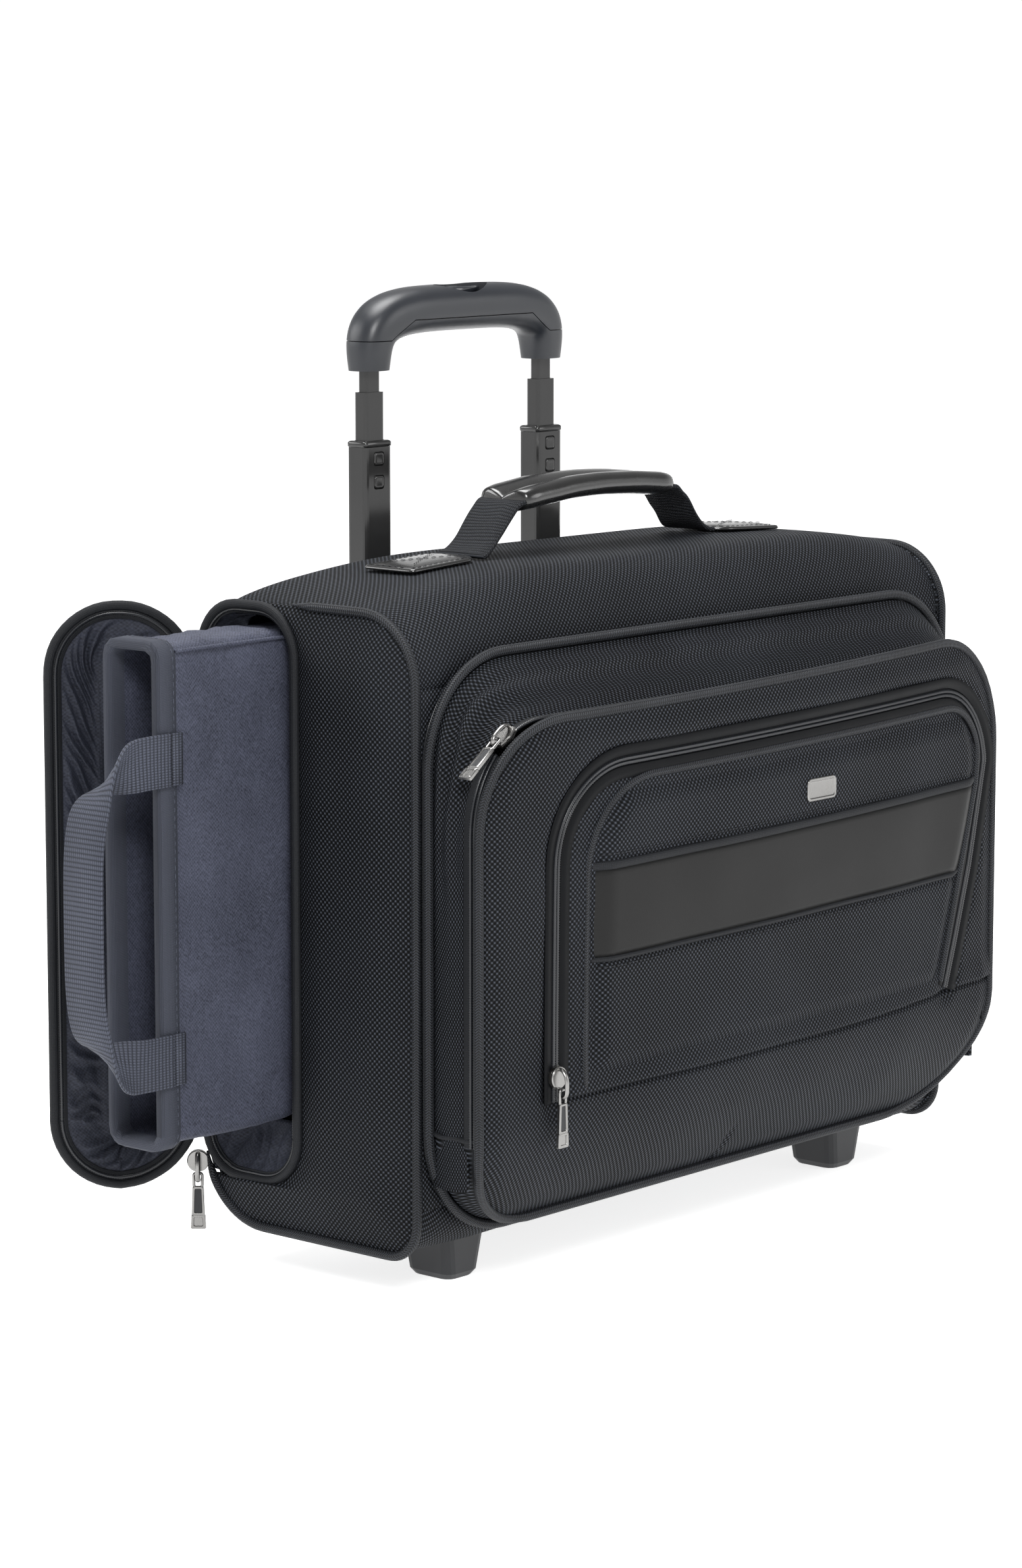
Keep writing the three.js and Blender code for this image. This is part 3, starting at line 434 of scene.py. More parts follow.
def herringbone(name, dark, light):
    """Woven cord edging: chevrons of short slanting threads."""
    n = Nodes(name)
    u, v = n.uv()
    chevron = n.math("PINGPONG", u, 1.9)
    slant = wave(n, n.math("MULTIPLY_ADD", chevron, 0.7, v), 1.35)
    columns = n.math("ABSOLUTE", n.math("SUBTRACT", chevron, 0.95))
    height = n.math("MULTIPLY_ADD", slant, 0.5, n.math("SUBTRACT", 0.6, n.math("MULTIPLY", columns, 0.5)))
    # The threads' height sets the colour: painted highlight on the raised threads and painted shade between
    # them, dimmed a little at random by noise.
    shade = n.math("MULTIPLY", height, n.ramp(n.noise(25, 2), 0.3, 0.7, 0.7, 1))
    color = n.mix(shade, grey(dark, COOL), grey(light, COOL))
    return n.set(color=color, rough=0.55, normal=n.bump(height, 0.0003), specular=0.3)


def ribbed(name, dark, light, pitch, depth, rough=0.7, tint=(1, 1, 1), cross=0.9):
    """Webbing or tape: ribs across its length, threads along it."""
    n = Nodes(name)
    u, v = n.uv()
    threads = wave(n, u, cross)
    swing = wave(n, n.math("MULTIPLY_ADD", threads, 0.1, v), pitch * 2)
    ribs = n.math("POWER", n.math("ABSOLUTE", swing), 0.7)
    height = n.math("MULTIPLY", n.math("MULTIPLY_ADD", threads, 0.3, 0.7), ribs)
    # The ribs' height sets the colour: painted highlight on the ribs' tops and painted shade in the hollows
    # between them, varied at random by noise.
    shade = n.math("MULTIPLY", height, n.ramp(n.noise(18, 3), 0.25, 0.75, 0.75, 1.05))
    color = n.mix(n.ramp(shade, 0, 1.1, 0, 1), grey(dark, tint), grey(light, tint))
    return n.set(color=color, rough=rough, normal=n.bump(height, depth * MM), specular=0.25)


def lining_cloth(name, dark, light):
    """Soft brushed lining: a plain weave under its nap, faint creases and a little sheen."""
    n = Nodes(name)
    u, v = n.uv()
    creases = n.noise(22, 4, 0.6)
    nap = n.noise(700, 3, 0.7)
    threads = n.math("MULTIPLY", wave(n, n.math("ADD", u, nap), 1.9), wave(n, v, 1.9))
    # The colour follows the threads, the nap and the creases: painted highlight on the threads' tops and
    # painted shade in the creases' hollows, with the nap's uneven tone.
    patches = n.math("MULTIPLY_ADD", nap, 0.8, n.math("MULTIPLY", creases, 0.4))
    shade = n.math("MULTIPLY_ADD", threads, 0.14, patches)
    color = n.mix(n.ramp(shade, 0.3, 0.85, 0, 1), dark, light)
    normal = n.bump(shade, 0.0003, n.bump(creases, 0.0016))
    return n.set(color=color, rough=0.7, normal=normal, specular=0.3)


def leather(name, level, rough, grain, relief, coat=0.0, worn=0.15, specular=0.4, tint=(1, 1, 1)):
    """Coated leather cloth with a fine pebble grain. worn is how much its colour and shine vary."""
    n = Nodes(name)
    cells = n.node("ShaderNodeTexVoronoi")
    n.feed(cells.inputs["Vector"], n.place())
    cells.inputs["Scale"].default_value = grain
    height = cells.outputs["Distance"]
    soft = n.noise(60, 3, 0.6)
    color = n.mix(soft, grey(level * (1 - worn), tint), grey(level * (1 + worn), tint))
    normal = n.bump(height, relief, n.bump(soft, 0.0013 * worn))
    rough_map = n.ramp(soft, 0.3, 0.7, rough * (1 - worn), rough * (1 + worn))
    return n.set(color=color, rough=rough_map, normal=normal, coat=coat, coat_rough=0.15, specular=specular)


def plastic(name, level, rough, grain_depth=0.00004, tint=COOL, coat=0.0):
    """Moulded plastic with a fine spark-eroded grain and slightly worn, smoother patches."""
    n = Nodes(name)
    grain = n.noise(3200, 2)
    patches = n.noise(30, 3, 0.6)
    color = n.mix(patches, grey(level * 0.92, tint), grey(level * 1.08, tint))
    normal = n.bump(grain, grain_depth)
    rough_map = n.ramp(patches, 0.3, 0.7, rough * 0.88, rough * 1.1)
    return n.set(color=color, rough=rough_map, normal=normal, coat=coat, coat_rough=0.1)


def drawn_lines(n, scale, stretch):
    """Noise drawn out along Z, for brushed or drawn metal."""
    along = n.node("ShaderNodeMapping", i_0=n.place())
    along.inputs["Scale"].default_value = (1, 1, stretch)
    return n.noise(scale, 2, vector=along.outputs[0])


def metal(name, level, rough):
    """Satin plated zinc, brushed along its length, with slightly duller patches."""
    n = Nodes(name)
    lines = drawn_lines(n, 900, 0.08)
    patches = n.noise(120, 3)
    color = n.mix(patches, grey(level * 0.85, (1, 0.98, 0.95)), grey(level, (1, 0.99, 0.97)))
    rough_map = n.ramp(lines, 0.3, 0.7, rough * 0.94, rough * 1.06)
    return n.set(color=color, metal=1.0, rough=rough_map)


def painted(name, level, rough):
    """Black anodised tube: a dark mirror with faint draw lines along it."""
    n = Nodes(name)
    lines = drawn_lines(n, 1400, 0.02)
    color = n.mix(n.noise(20, 2), grey(level * 0.85), grey(level * 1.15))
    rough_map = n.ramp(lines, 0.3, 0.7, rough * 0.8, rough * 1.2)
    return n.set(color=color, metal=0.6, rough=rough_map, specular=0.5)


SLATE = (0.78, 0.86, 1.15)
# These two are the slate lining's colours darkened: painted shade, for the lining inside the laptop bay and
# on the door.
SHADED_SLATE_DARK, SHADED_SLATE_LIGHT = (0.006, 0.007, 0.011, 1), (0.034, 0.038, 0.056, 1)
SLATE_DARK = (0.014, 0.016, 0.025, 1)
SLATE_LIGHT = (0.078, 0.085, 0.123, 1)
# The nylon's two colours are painted shade for the weave's gaps and painted highlight for its threads' tops.
NYLON = basket_weave("ribbed_nylon", 0.001, 0.085, 2.7, 0.65)
# The piping's two colours are painted shade between its threads and painted highlight on them.
PIPING = herringbone("woven_piping", 0.0015, 0.045)
# The tapes, bindings and webbings get painted highlight on their ribs and painted shade between them from
# ribbed().
TAPE = ribbed("zip_tape", 0.006, 0.016, 0.9, 0.08, tint=COOL)
COIL = plastic("zip_coil", 0.014, 0.3, 0.00001)
BINDING = ribbed("black_binding", 0.004, 0.02, 0.8, 0.12, rough=0.65, tint=COOL)
LINING = lining_cloth("slate_lining", SLATE_DARK, SLATE_LIGHT)
# The slate lining in its darkened colours: painted shade.
SHADED_LINING = lining_cloth("slate_lining_painted_shade", SHADED_SLATE_DARK, SHADED_SLATE_LIGHT)
LOOP_WEB = ribbed("slate_webbing", 0.018, 0.14, 2.3, 0.55, tint=SLATE, cross=1.3)
LOOP_BIND = ribbed("slate_binding", 0.03, 0.095, 0.8, 0.2, tint=SLATE, cross=0.8)
BLACK_WEB = ribbed("black_webbing", 0.002, 0.035, 2.0, 0.8, tint=COOL, cross=1.2)
BAND = leather("smooth_band", 0.009, 0.5, 1500, 0.00002, worn=0.02, specular=0.2)
FLAP = leather("zip_flap", 0.004, 0.5, 2200, 0.00004, worn=0.05, specular=0.1, tint=COOL)
GLOSS_LEATHER = leather("gloss_leather", 0.008, 0.27, 1300, 0.00002, coat=0.8)
TUBE_PAINT = painted("gloss_black_tube", 0.055, 0.12)
GRIP = plastic("grip_plastic", 0.021, 0.36, 0.00005)
DARK_GLOSS = plastic("gloss_black_plastic", 0.025, 0.18, 0.000005, coat=0.5)
CHASSIS = plastic("chassis_plastic", 0.011, 0.45, 0.00006)
NICKEL = metal("satin_nickel", 0.3, 0.28)
RUBBER = plastic("wheel_rubber", 0.01, 0.7, 0.0001)
THREAD = plastic("black_thread", 0.012, 0.5, 0.00003)
SLATE_THREAD = plastic("slate_thread", 0.09, 0.7, 0.00003, tint=(0.75, 0.84, 1.15))


# ---- Pieces ----
def clean_mesh(name, shape, with_uvs=True, away=None):
    """A mesh in metres, its doubled points merged and its faces outwards, or away from a point."""
    mesh = bpy.data.meshes.new(name)
    mesh.from_pydata([ORIGIN + v * MM for v in shape.verts], [], shape.faces)
    if with_uvs:
        layer = mesh.uv_layers.new(name="UVMap")
        for loop in mesh.loops:
            layer.data[loop.index].uv = shape.uvs[loop.vertex_index]
    bm = bmesh.new()
    bm.from_mesh(mesh)
    bmesh.ops.remove_doubles(bm, verts=bm.verts, dist=0.00001)
    bmesh.ops.recalc_face_normals(bm, faces=bm.faces)
    if away:
        inside = ORIGIN + Vector(away) * MM
        facing = sum(f.normal.dot(f.calc_center_median() - inside) * f.calc_area() for f in bm.faces)
        if facing < 0:
            bmesh.ops.reverse_faces(bm, faces=bm.faces)
    bm.to_mesh(mesh)
    bm.free()
    return mesh


def piece(name, shape, material, body, stands_for=(), solid=0.0, level=0, sharp=None, away=None):
    """Makes one Blender piece from a shape. solid thickens it inwards by that many millimetres.

    An open sheet is turned to face away from the point `away`. A piece that lies between two
    bodies has body None and is attached to neither."""
    mesh = clean_mesh(name, shape, away=away)
    mesh.shade_smooth()
    if sharp:
        mesh.set_sharp_from_angle(angle=math.radians(sharp))
    obj = bpy.data.objects.new(name, mesh)
    bpy.context.scene.collection.objects.link(obj)
    mesh.materials.append(material)
    if solid:
        thick = obj.modifiers.new("thickness", "SOLIDIFY")
        thick.thickness = solid * MM
        thick.offset = -1
    if level:
        fine = obj.modifiers.new("rounding", "SUBSURF")
        fine.levels = level
        fine.render_levels = level
    if body:
        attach(obj, body)
    if stands_for:
        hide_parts(*stands_for)
    return obj


def settle(obj):
    """Turns a piece's modifiers into mesh."""
    graph = bpy.context.evaluated_depsgraph_get()
    result = bpy.data.meshes.new_from_object(obj.evaluated_get(graph))
    obj.modifiers.clear()
    obj.data = result
    return obj


def bend(obj, end):
    """Turns a finished piece of cloth's modifiers into mesh and bakes its placement into its points. end, a
    place in the case's own axes, is not used.
    """
    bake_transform(settle(obj))


def repaint(node, material, sharp=35):
    """Keeps a CAD node's shape and gives it a finished material."""
    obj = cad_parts[node]
    obj.data.materials.clear()
    obj.data.materials.append(material)
    obj.data.shade_smooth()
    obj.data.set_sharp_from_angle(angle=math.radians(sharp))
    return obj


# ---- The soft shell ----
def crown(x, z):
    """How far the padded top rises above the shoulders."""
    ends = 1 - min(1, abs(x) / HALF_WIDTH) ** 4
    return CROWN * ends * smooth(z, SHOULDER - 26, SHOULDER)


def section(inset=0.0, start=0.0):
    """The body's section as (y, z), from the front opening's top lip round to its bottom lip."""
    points = [(inset, SHOULDER - 36 - start)]
    points += arc(FRONT_TOP, SHOULDER - FRONT_TOP, FRONT_TOP - inset, 180, 90, 14)
    points += arc(DEPTH - REAR_TOP, SHOULDER - REAR_TOP, REAR_TOP - inset, 90, 0, 12)
    points += arc(DEPTH - REAR_BOTTOM, BOTTOM + REAR_BOTTOM, REAR_BOTTOM - inset, 0, -90, 14)
    points += arc(FRONT_BOTTOM, BOTTOM + FRONT_BOTTOM, FRONT_BOTTOM - inset, 270, 180, 10)
    points.append((inset, BOTTOM + FRONT_BOTTOM + 8 + start))
    return resample(points, 6)


def body_skin():
    """The padded top, back and bottom in one, tucked in a little where it meets the end panels."""
    outline = section()
    rows = []
    for t in fractions(56):
        x = lerp(-HALF_WIDTH + EDGE_IN, HALF_WIDTH - EDGE_IN, t)
        tuck = 1.6 * (abs(x) / HALF_WIDTH) ** 30
        row = []
        for y, z in outline:
            p = Vector((x, y, z + crown(x, z)))
            out = Vector((0, y - DEPTH / 2, z - 180)).normalized()
            row.append(p - out * tuck + out * wrinkle((x, y, z), 70, 1.3, 1))
        rows.append(row)
    return Shape().grid(rows)


def body_front():
    """The flat front of the body round the lid, with the opening into the main compartment."""
    outer = rounded(-HALF_WIDTH + EDGE_IN, HALF_WIDTH - EDGE_IN, BOTTOM + 24, SHOULDER - 35, 3)
    inner = rounded(-190, 190, BOTTOM + 33, SHOULDER - 37, 42)
    rows = [[Vector((a, 0.2, b)) for a, b in outer], [Vector((a, 0.4, b)) for a, b in inner]]
    rows.append([Vector((a * 0.995, 3.5, lerp(180, b, 0.995))) for a, b in inner])
    return Shape().grid(rows, wrap=True, uv=facing_front)


def end_edge(z, inset=0.0):
    """The front edge (y) of an end panel at height z."""
    if z > SHOULDER - FRONT_TOP:
        r = FRONT_TOP - inset
        return FRONT_TOP - math.sqrt(max(0, r * r - (z - SHOULDER + FRONT_TOP) ** 2))
    if z < BOTTOM + FRONT_BOTTOM:
        r = FRONT_BOTTOM - inset
        return FRONT_BOTTOM - math.sqrt(max(0, r * r - (BOTTOM + FRONT_BOTTOM - z) ** 2))
    return inset


def rear_edge(z):
    """The rear edge (y) of an end panel at height z."""
    if z > SHOULDER - REAR_TOP:
        return DEPTH - REAR_TOP + math.sqrt(max(0, REAR_TOP**2 - (z - SHOULDER + REAR_TOP) ** 2))
    if z < BOTTOM + REAR_BOTTOM:
        return DEPTH - REAR_BOTTOM + math.sqrt(max(0, REAR_BOTTOM**2 - (BOTTOM + REAR_BOTTOM - z) ** 2))
    return DEPTH


def heights(low, high, count):
    """Heights packed closer near both ends."""
    return [lerp(low, high, ease(t)) for t in fractions(count)]


OPEN_LOW, OPEN_HIGH, OPEN_RADIUS = 46, 332, 24


def opening_edge(z):
    """The front edge (y) of the laptop opening at height z, past its middle where z is above or below it."""
    r = OPEN_RADIUS
    beyond = max(OPEN_LOW + r - z, z - OPEN_HIGH + r)
    if beyond >= r:
        return DEPTH
    return BAY + (r - math.sqrt(r * r - beyond * beyond) if beyond > 0 else 0)


def end_panel(side):
    """A padded end. The left one stops at the laptop opening."""
    low, high = BOTTOM + 0.2, SHOULDER - 0.2
    if side > 0:
        limits = [(z, end_edge(z), rear_edge(z)) for z in heights(low, high, 48)]
    else:
        beside = heights(OPEN_LOW + 0.1, OPEN_HIGH - 0.1, 60)
        levels = heights(low, OPEN_LOW, 10)[:-1] + beside + [OPEN_HIGH, high]
        limits = [(z, end_edge(z), min(rear_edge(z), opening_edge(z))) for z in levels]
    rows = []
    for z, y0, y1 in limits:
        row = []
        for t in fractions(16):
            y = lerp(y0, y1, ease(t))
            edge = min(y - end_edge(z), z - BOTTOM, SHOULDER - z, rear_edge(z) - y)
            if side < 0:
                edge = min(edge, max(y1 - y, OPEN_LOW - z, 0) * 1.6)
            puff = 4.6 * smooth(edge, 0, 30) + 1.6 * smooth(edge, 0, 6)
            soft = wrinkle((0, y, z), 60, 1.4, 2 + side) * smooth(edge, 0, 12)
            row.append(Vector((side * (HALF_WIDTH - 0.5 + puff) + soft, y, z)))
        rows.append(row)
    panel = Shape().grid(rows, uv=facing_end)
    if side < 0:
        rows = []
        corner = DEPTH - 1 - OPEN_RADIUS
        for z in heights(OPEN_LOW, OPEN_LOW + OPEN_RADIUS - 4, 8):
            near = corner + math.sqrt(max(0, OPEN_RADIUS**2 - (OPEN_LOW + OPEN_RADIUS - z) ** 2))
            ys = [lerp(near, max(near, rear_edge(z)), t) for t in fractions(4)]
            rows.append([Vector((side * (HALF_WIDTH - 0.5), y, z)) for y in ys])
        panel.grid(rows, uv=facing_end)
    return panel


def end_piping_path(side):
    """Round an end panel's edge. The left one stops at both ends of the laptop opening."""
    points = [(BAY + 2, SHOULDER)]
    if side > 0:
        points = arc(DEPTH - REAR_TOP, SHOULDER - REAR_TOP, REAR_TOP, 0, 90)
    points += arc(FRONT_TOP, SHOULDER - FRONT_TOP, FRONT_TOP, 90, 180, 14)
    points += arc(FRONT_BOTTOM, BOTTOM + FRONT_BOTTOM, FRONT_BOTTOM, 180, 270, 10)
    last = 350 if side < 0 else 360
    points += arc(DEPTH - REAR_BOTTOM, BOTTOM + REAR_BOTTOM, REAR_BOTTOM, 270, last, 12)
    x = side * (HALF_WIDTH + 0.6)
    return [Vector((x, p.x, p.y)) for p in resample(points, 3, side > 0)]


def coil_along(path, normals, closed=False, lift=0.8, tooth=1.2, strands=(-1.05, 1.05)):
    """The coil of a zip: rows of fine teeth, two side by side where it is closed."""
    samples = resample(path, 0.6, closed)
    count = len(path) if closed else len(path) - 1
    rows = {offset: [] for offset in strands}
    for i, p in enumerate(samples):
        k = i / len(samples) * count
        a = Vector(normals[int(k) % len(normals)])
        b = Vector(normals[(int(k) + 1) % len(normals)])
        normal = a.lerp(b, k - int(k)).normalized()
        side = heading(samples, i, closed).cross(normal)
        for offset, points in rows.items():
            points.append(p + normal * lift + side * offset)
    shape = Shape()
    for points in rows.values():
        shape.add(tube(points, lambda i: tooth if i % 2 else tooth * 0.6, 6, closed, flat=0.8))
    return shape


def zip_parts(path, normals, side_tape=6.0, closed=False):
    """Tape and coil of a closed zip, with side_tape of tape each side."""
    tape = ribbon(path, normals, side_tape * 2, 0.7, closed=closed)
    return tape, coil_along(path, normals, closed)


def band_along(path, normals, profile, closed=False):
    """A strip of fabric along a path. profile lists (sideways, lift) points across it."""
    rows = []
    for i, p in enumerate(path):
        normal = Vector(normals[i]).normalized()
        side = heading(path, i, closed).cross(normal).normalized()
        rows.append([p + side * a + normal * b for a, b in profile])
    return Shape().grid(rows, ring=closed)


def zip_flaps(path, normals, inner, outer, rise):
    """The two strips that a zip is sewn between, rolled at the coil and lifting away from it."""
    middle = inner + (outer - inner) * 0.5
    profile = [(inner + 0.4, 0.0), (inner, 0.5), (inner + 0.5, 1.0)]
    profile += [(middle, 1.0 + rise * 0.6), (outer, 1.0 + rise)]
    shape = Shape()
    for sign in (-1, 1):
        shape.add(band_along(path, normals, [(sign * a, b) for a, b in profile]))
    return shape


RIM_X = -HALF_WIDTH - 1.0


def rim_outline(grow=0.0):
    """The laptop opening's edge, as (y, z)."""
    low, high = OPEN_LOW - grow, OPEN_HIGH + grow
    return rounded(BAY - grow, DEPTH - 1 + grow, low, high, OPEN_RADIUS + grow)


def sleeve_outline(out, radius, steps=5):
    """The sleeve's section as (y, z), grown outwards."""
    low, high = SLEEVE_LOW - out, SLEEVE_HIGH + out
    return rounded(SLEEVE_FRONT - out, SLEEVE_BACK + out, low, high, radius, steps)


def bay_lining():
    """The creased lining of the laptop compartment, from its opening to its far end."""
    rows = []
    for t in fractions(29):
        x = lerp(-HALF_WIDTH + 1, HALF_WIDTH - 8, t**1.6)
        gather = 1.5 + 2.0 * smooth(t, 0, 0.15)
        centre = Vector((x, (BAY + DEPTH) / 2, (OPEN_LOW + OPEN_HIGH) / 2))
        row = []
        for y, z in resample(rim_outline(-gather), 7, True):
            p = Vector((x, y, z))
            crease = wrinkle((x * 1.6, y, z), 12, 1.3, 5) * smooth(t, 0, 0.1)
            row.append(p + (centre - p).normalized() * abs(crease))
        rows.append(row)
    return Shape().grid(rows, wrap=True).cap(rows[-1])


def bay_collar():
    """The gathered strip of lining between the opening's edge and the sleeve."""
    around, room = 420, 3.9
    rim = resample_to(rim_outline(-3.2), around)
    mouth = resample_to(sleeve_outline(room, 10, 6), around)
    rows = []
    for t in fractions(14):
        inwards = t**1.2
        row = []
        for i, (p, q) in enumerate(zip(rim, mouth)):
            pleat = 3.6 * (1 + gathers(i, t, 0.5, 3)) * math.sin(math.pi * t)
            x = RIM_X + 16 * inwards + pleat
            row.append(Vector((x, lerp(p.x, q.x, inwards), lerp(p.y, q.y, inwards))))
        rows.append(row)
    return Shape().grid(rows, wrap=True, uv=facing_end)


def laptop_opening():
    edge = [Vector((RIM_X - 0.5, y, z)) for y, z in resample(rim_outline(), 4, True)]
    cord = tube(edge, CORD_RADIUS, 10, True, ACROSS)
    name = "laptop_opening_rim_soft"
    piece(name, cord, BINDING, "shell", ["laptop_opening_rim"])
    path = [Vector((RIM_X + 0.5, y, z)) for y, z in resample(rim_outline(-2.8), 4, True)]
    outward = [-ACROSS] * len(path)
    piece("laptop_zip_tape", ribbon(path, outward, 3.2, 0.7, closed=True), TAPE, "shell")
    piece("laptop_zip_coil", coil_along(path, outward, True, strands=(0,)), COIL, "shell")
    # The bay's lining and its collar use the lining's darkened colours: painted shade.
    piece("laptop_bay_lining", bay_lining(), SHADED_LINING, "shell", ["compartment_divider"])
    inside = (100, 104, 190)
    cloth = piece("laptop_bay_collar", bay_collar(), SHADED_LINING, "shell", solid=0.8, away=inside)


def trolley_back():
    """The stretched cover over the tubes on the back, with bound edges."""
    low, high = box_mm("trolley_cover")
    half, back, corner, sewn = high.x, high.y, 16, DEPTH + 0.4
    profile = [(-half, sewn)] + arc(-half + corner, back - corner, corner, 180, 90, 8)
    profile += arc(half - corner, back - corner, corner, 90, 0, 8) + [(half, sewn)]
    rows = []
    for t in fractions(29):
        z = lerp(low.z, high.z, t)
        row = []
        for x, y in resample(profile, 8):
            soft = wrinkle((x, y, z), 50, 1.2, 4) * (y > DEPTH + 5)
            row.append(Vector((x, y + soft, z)))
        rows.append(row)
    sheet = Shape().grid(rows, uv=facing_front)
    nodes = ["trolley_cover"]
    cover = piece("trolley_cover_soft", sheet, NYLON, "shell", nodes, solid=2.2, away=(0, 100, 180))
    left, right = ([row[i] for row in rows] for i in (0, -1))
    for name, row in (("top", rows[-1]), ("foot", rows[0]), ("left", left), ("right", right)):
        piece(f"trolley_cover_hem_{name}", tube(resample(row, 5), 1.8, 8), BINDING, "shell")
    seams = Shape()
    hem = 6
    for row, raised in ((rows[0], hem), (rows[-1], -hem)):
        line = [p + UP * raised for p in resample(row, 4)]
        seams.add(dashes(line, [Vector((p.x / 60, 1, 0)) for p in line]))
    piece("trolley_cover_stitches", seams, THREAD, "shell")


def shell_panel(name, shape, nodes, thick, level):
    """One fabric panel of the body, facing outwards."""
    return piece(name, shape, NYLON, "shell", nodes, solid=thick, level=level, away=BODY_MIDDLE)


def shell():
    nodes = ["top_panel", "bottom_panel", "back_panel"]
    skin = shell_panel("body_skin", body_skin(), nodes, 2.6, 1)
    shell_panel("body_front", body_front(), ["main_opening_frame"], 1.2, 0)
    left = shell_panel("left_end_soft", end_panel(-1), ["left_end_panel"], 2.4, 1)
    right = shell_panel("right_end_soft", end_panel(1), ["right_end_panel"], 2.4, 1)
    around, path = end_piping_path(1), end_piping_path(-1)
    last, radius = len(path) - 1, 2.3
    fading = tube(path, lambda i: radius * (0.3 + 0.7 * smooth(min(i, last - i), 0, 5)))
    piece("end_piping_left", fading, PIPING, "shell", ["end_piping"])
    piece("end_piping_right", tube(around, radius, closed=True), PIPING, "shell")
    laptop_opening()
    trolley_back()


shell()


# ---- The organiser lid and its pockets ----
LID_HALF, LID_LOW, LID_HIGH, LID_RADIUS = 205, 35, 311, 50
MOUTH_HALF, MOUTH_HIGH, MOUTH_LOW, MOUTH_Y = 205.5, 283, 82, -28
SLIDER_ANGLE = 128  # where the front pocket's zip slider stands on its corner
POCKET_HALF, POCKET_LOW, POCKET_HIGH, POCKET_WRAP = 204, 36, 281, 95
POCKET_LOW_RADIUS, POCKET_HIGH_RADIUS = 58, 52
POCKET_FOOT, POCKET_EDGE, POCKET_BELLY, POCKET_LEAN = 12, 38, 6, 6


def lid_outline(grow=0.0, steps=12):
    low, high = LID_LOW - grow, LID_HIGH + grow
    return rounded(-LID_HALF - grow, LID_HALF + grow, low, high, LID_RADIUS + grow, steps)


def pair_up(row, count):
    """The row's points that stand opposite `count` points of a longer row."""
    last = len(row) - 1
    return [row[min(last, round(i * last / (count - 1)))] for i in range(count)]


def arch(half, low, high, radius):
    """Up the left side, over the top and down the right side, as (x, z)."""
    points = [(-half, low)] + arc(-half + radius, high - radius, radius, 180, 90, 12)
    return points + arc(half - radius, high - radius, radius, 90, 0, 12) + [(half, low)]


def corner_inset(distance, radius):
    """How far a rounded corner draws a side in, this far from the end of that side."""
    if distance >= radius:
        return 0
    return radius - math.sqrt(radius**2 - (radius - max(0, distance)) ** 2)


def pocket_half(z, grow=0.0):
    """Half the front pocket's width at height z, with its outline grown outwards."""
    at_foot = corner_inset(z - POCKET_LOW + grow, POCKET_LOW_RADIUS + grow)
    at_top = corner_inset(POCKET_HIGH + grow - z, POCKET_HIGH_RADIUS + grow)
    return POCKET_HALF + grow - at_foot - at_top


def pocket_y(x, z):
    """The front pocket's outer face. It wraps in at the foot, bulges and leans out at the top."""
    rise = clamp((z - POCKET_LOW) / (POCKET_WRAP - POCKET_LOW))
    wrapped = lerp(POCKET_FOOT, POCKET_EDGE, math.sin(rise * math.pi / 2))
    across = 1 - min(1, abs(x) / POCKET_HALF) ** 2
    lean = POCKET_LEAN * max(0, (z - POCKET_WRAP) / (POCKET_HIGH - POCKET_WRAP)) ** 2
    return -(wrapped + across * (POCKET_BELLY * rise + lean))


def on_pocket(x, z, out=0.0):
    """A place on the front pocket's face, which rises a little towards its right end."""
    rise = 0.02 * max(0, x + 140) * z / 250
    return Vector((x, pocket_y(x, z) - out, z + rise))


def pocket_normal(x, z):
    across = on_pocket(x + 1, z) - on_pocket(x - 1, z)
    up = on_pocket(x, z + 1) - on_pocket(x, z - 1)
    return across.cross(up).normalized()


SMALL_LEFT, SMALL_RIGHT, SMALL_LOW, SMALL_HIGH = -137, 187, 104, 250
SMALL_LEFT_RADIUS, SMALL_RIGHT_RADIUS = 45, 32
SLANT_TOP = 209  # the small pocket's right edge runs inwards below this height
BAND_LOW, BAND_HIGH = 165, 208


def small_edges(z):
    """The small pocket's left and right edges at height z."""
    slant = max(0, SLANT_TOP - z) / 3
    left = SMALL_LEFT + corner_inset(SMALL_HIGH - z, SMALL_LEFT_RADIUS)
    return left, SMALL_RIGHT - slant - corner_inset(SMALL_HIGH - z, SMALL_RIGHT_RADIUS)


def small_outline(grow=0.0):
    """The small pocket's edge from its bottom left corner, over the top, to its bottom right."""
    left, right, high = SMALL_LEFT - grow, SMALL_RIGHT + grow, SMALL_HIGH + grow
    r, s = SMALL_LEFT_RADIUS + grow, SMALL_RIGHT_RADIUS + grow
    points = [(left, SMALL_LOW - 4)] + arc(left + r, high - r, r, 180, 90, 12)
    points += arc(right - s, high - s, s, 90, 12, 10)
    return points + [(right - 2, SLANT_TOP), (right - 33, SMALL_LOW + 4)]


def lower_seam(x):
    """Height of the seam that crosses the front pocket below the small pocket."""
    return 99 + 4 * smooth(x, 60, 190)


def small_zip_path():
    """Up the small pocket's left side, over it and down its slanting right side, as (x, z)."""
    left, right, high, r = SMALL_LEFT - 21, SMALL_RIGHT + 8, SMALL_HIGH + 9, 46
    outline = [(left, 98)] + arc(left + r, high - r, r, 180, 90, 12) + arc(right - r, high - r, r, 90, 8, 12)
    return resample(outline + [(right - 14, 165), (right - 27, 126), (right - 35, SMALL_LOW)], 3)


def nearest(points):
    """A quick way to find how far a place (x, z) is from a line of points."""
    tree = kdtree.KDTree(len(points))
    for i, p in enumerate(points):
        tree.insert((p.x, 0, p.y), i)
    tree.balance()
    return lambda x, z: tree.find((x, 0, z))[2]


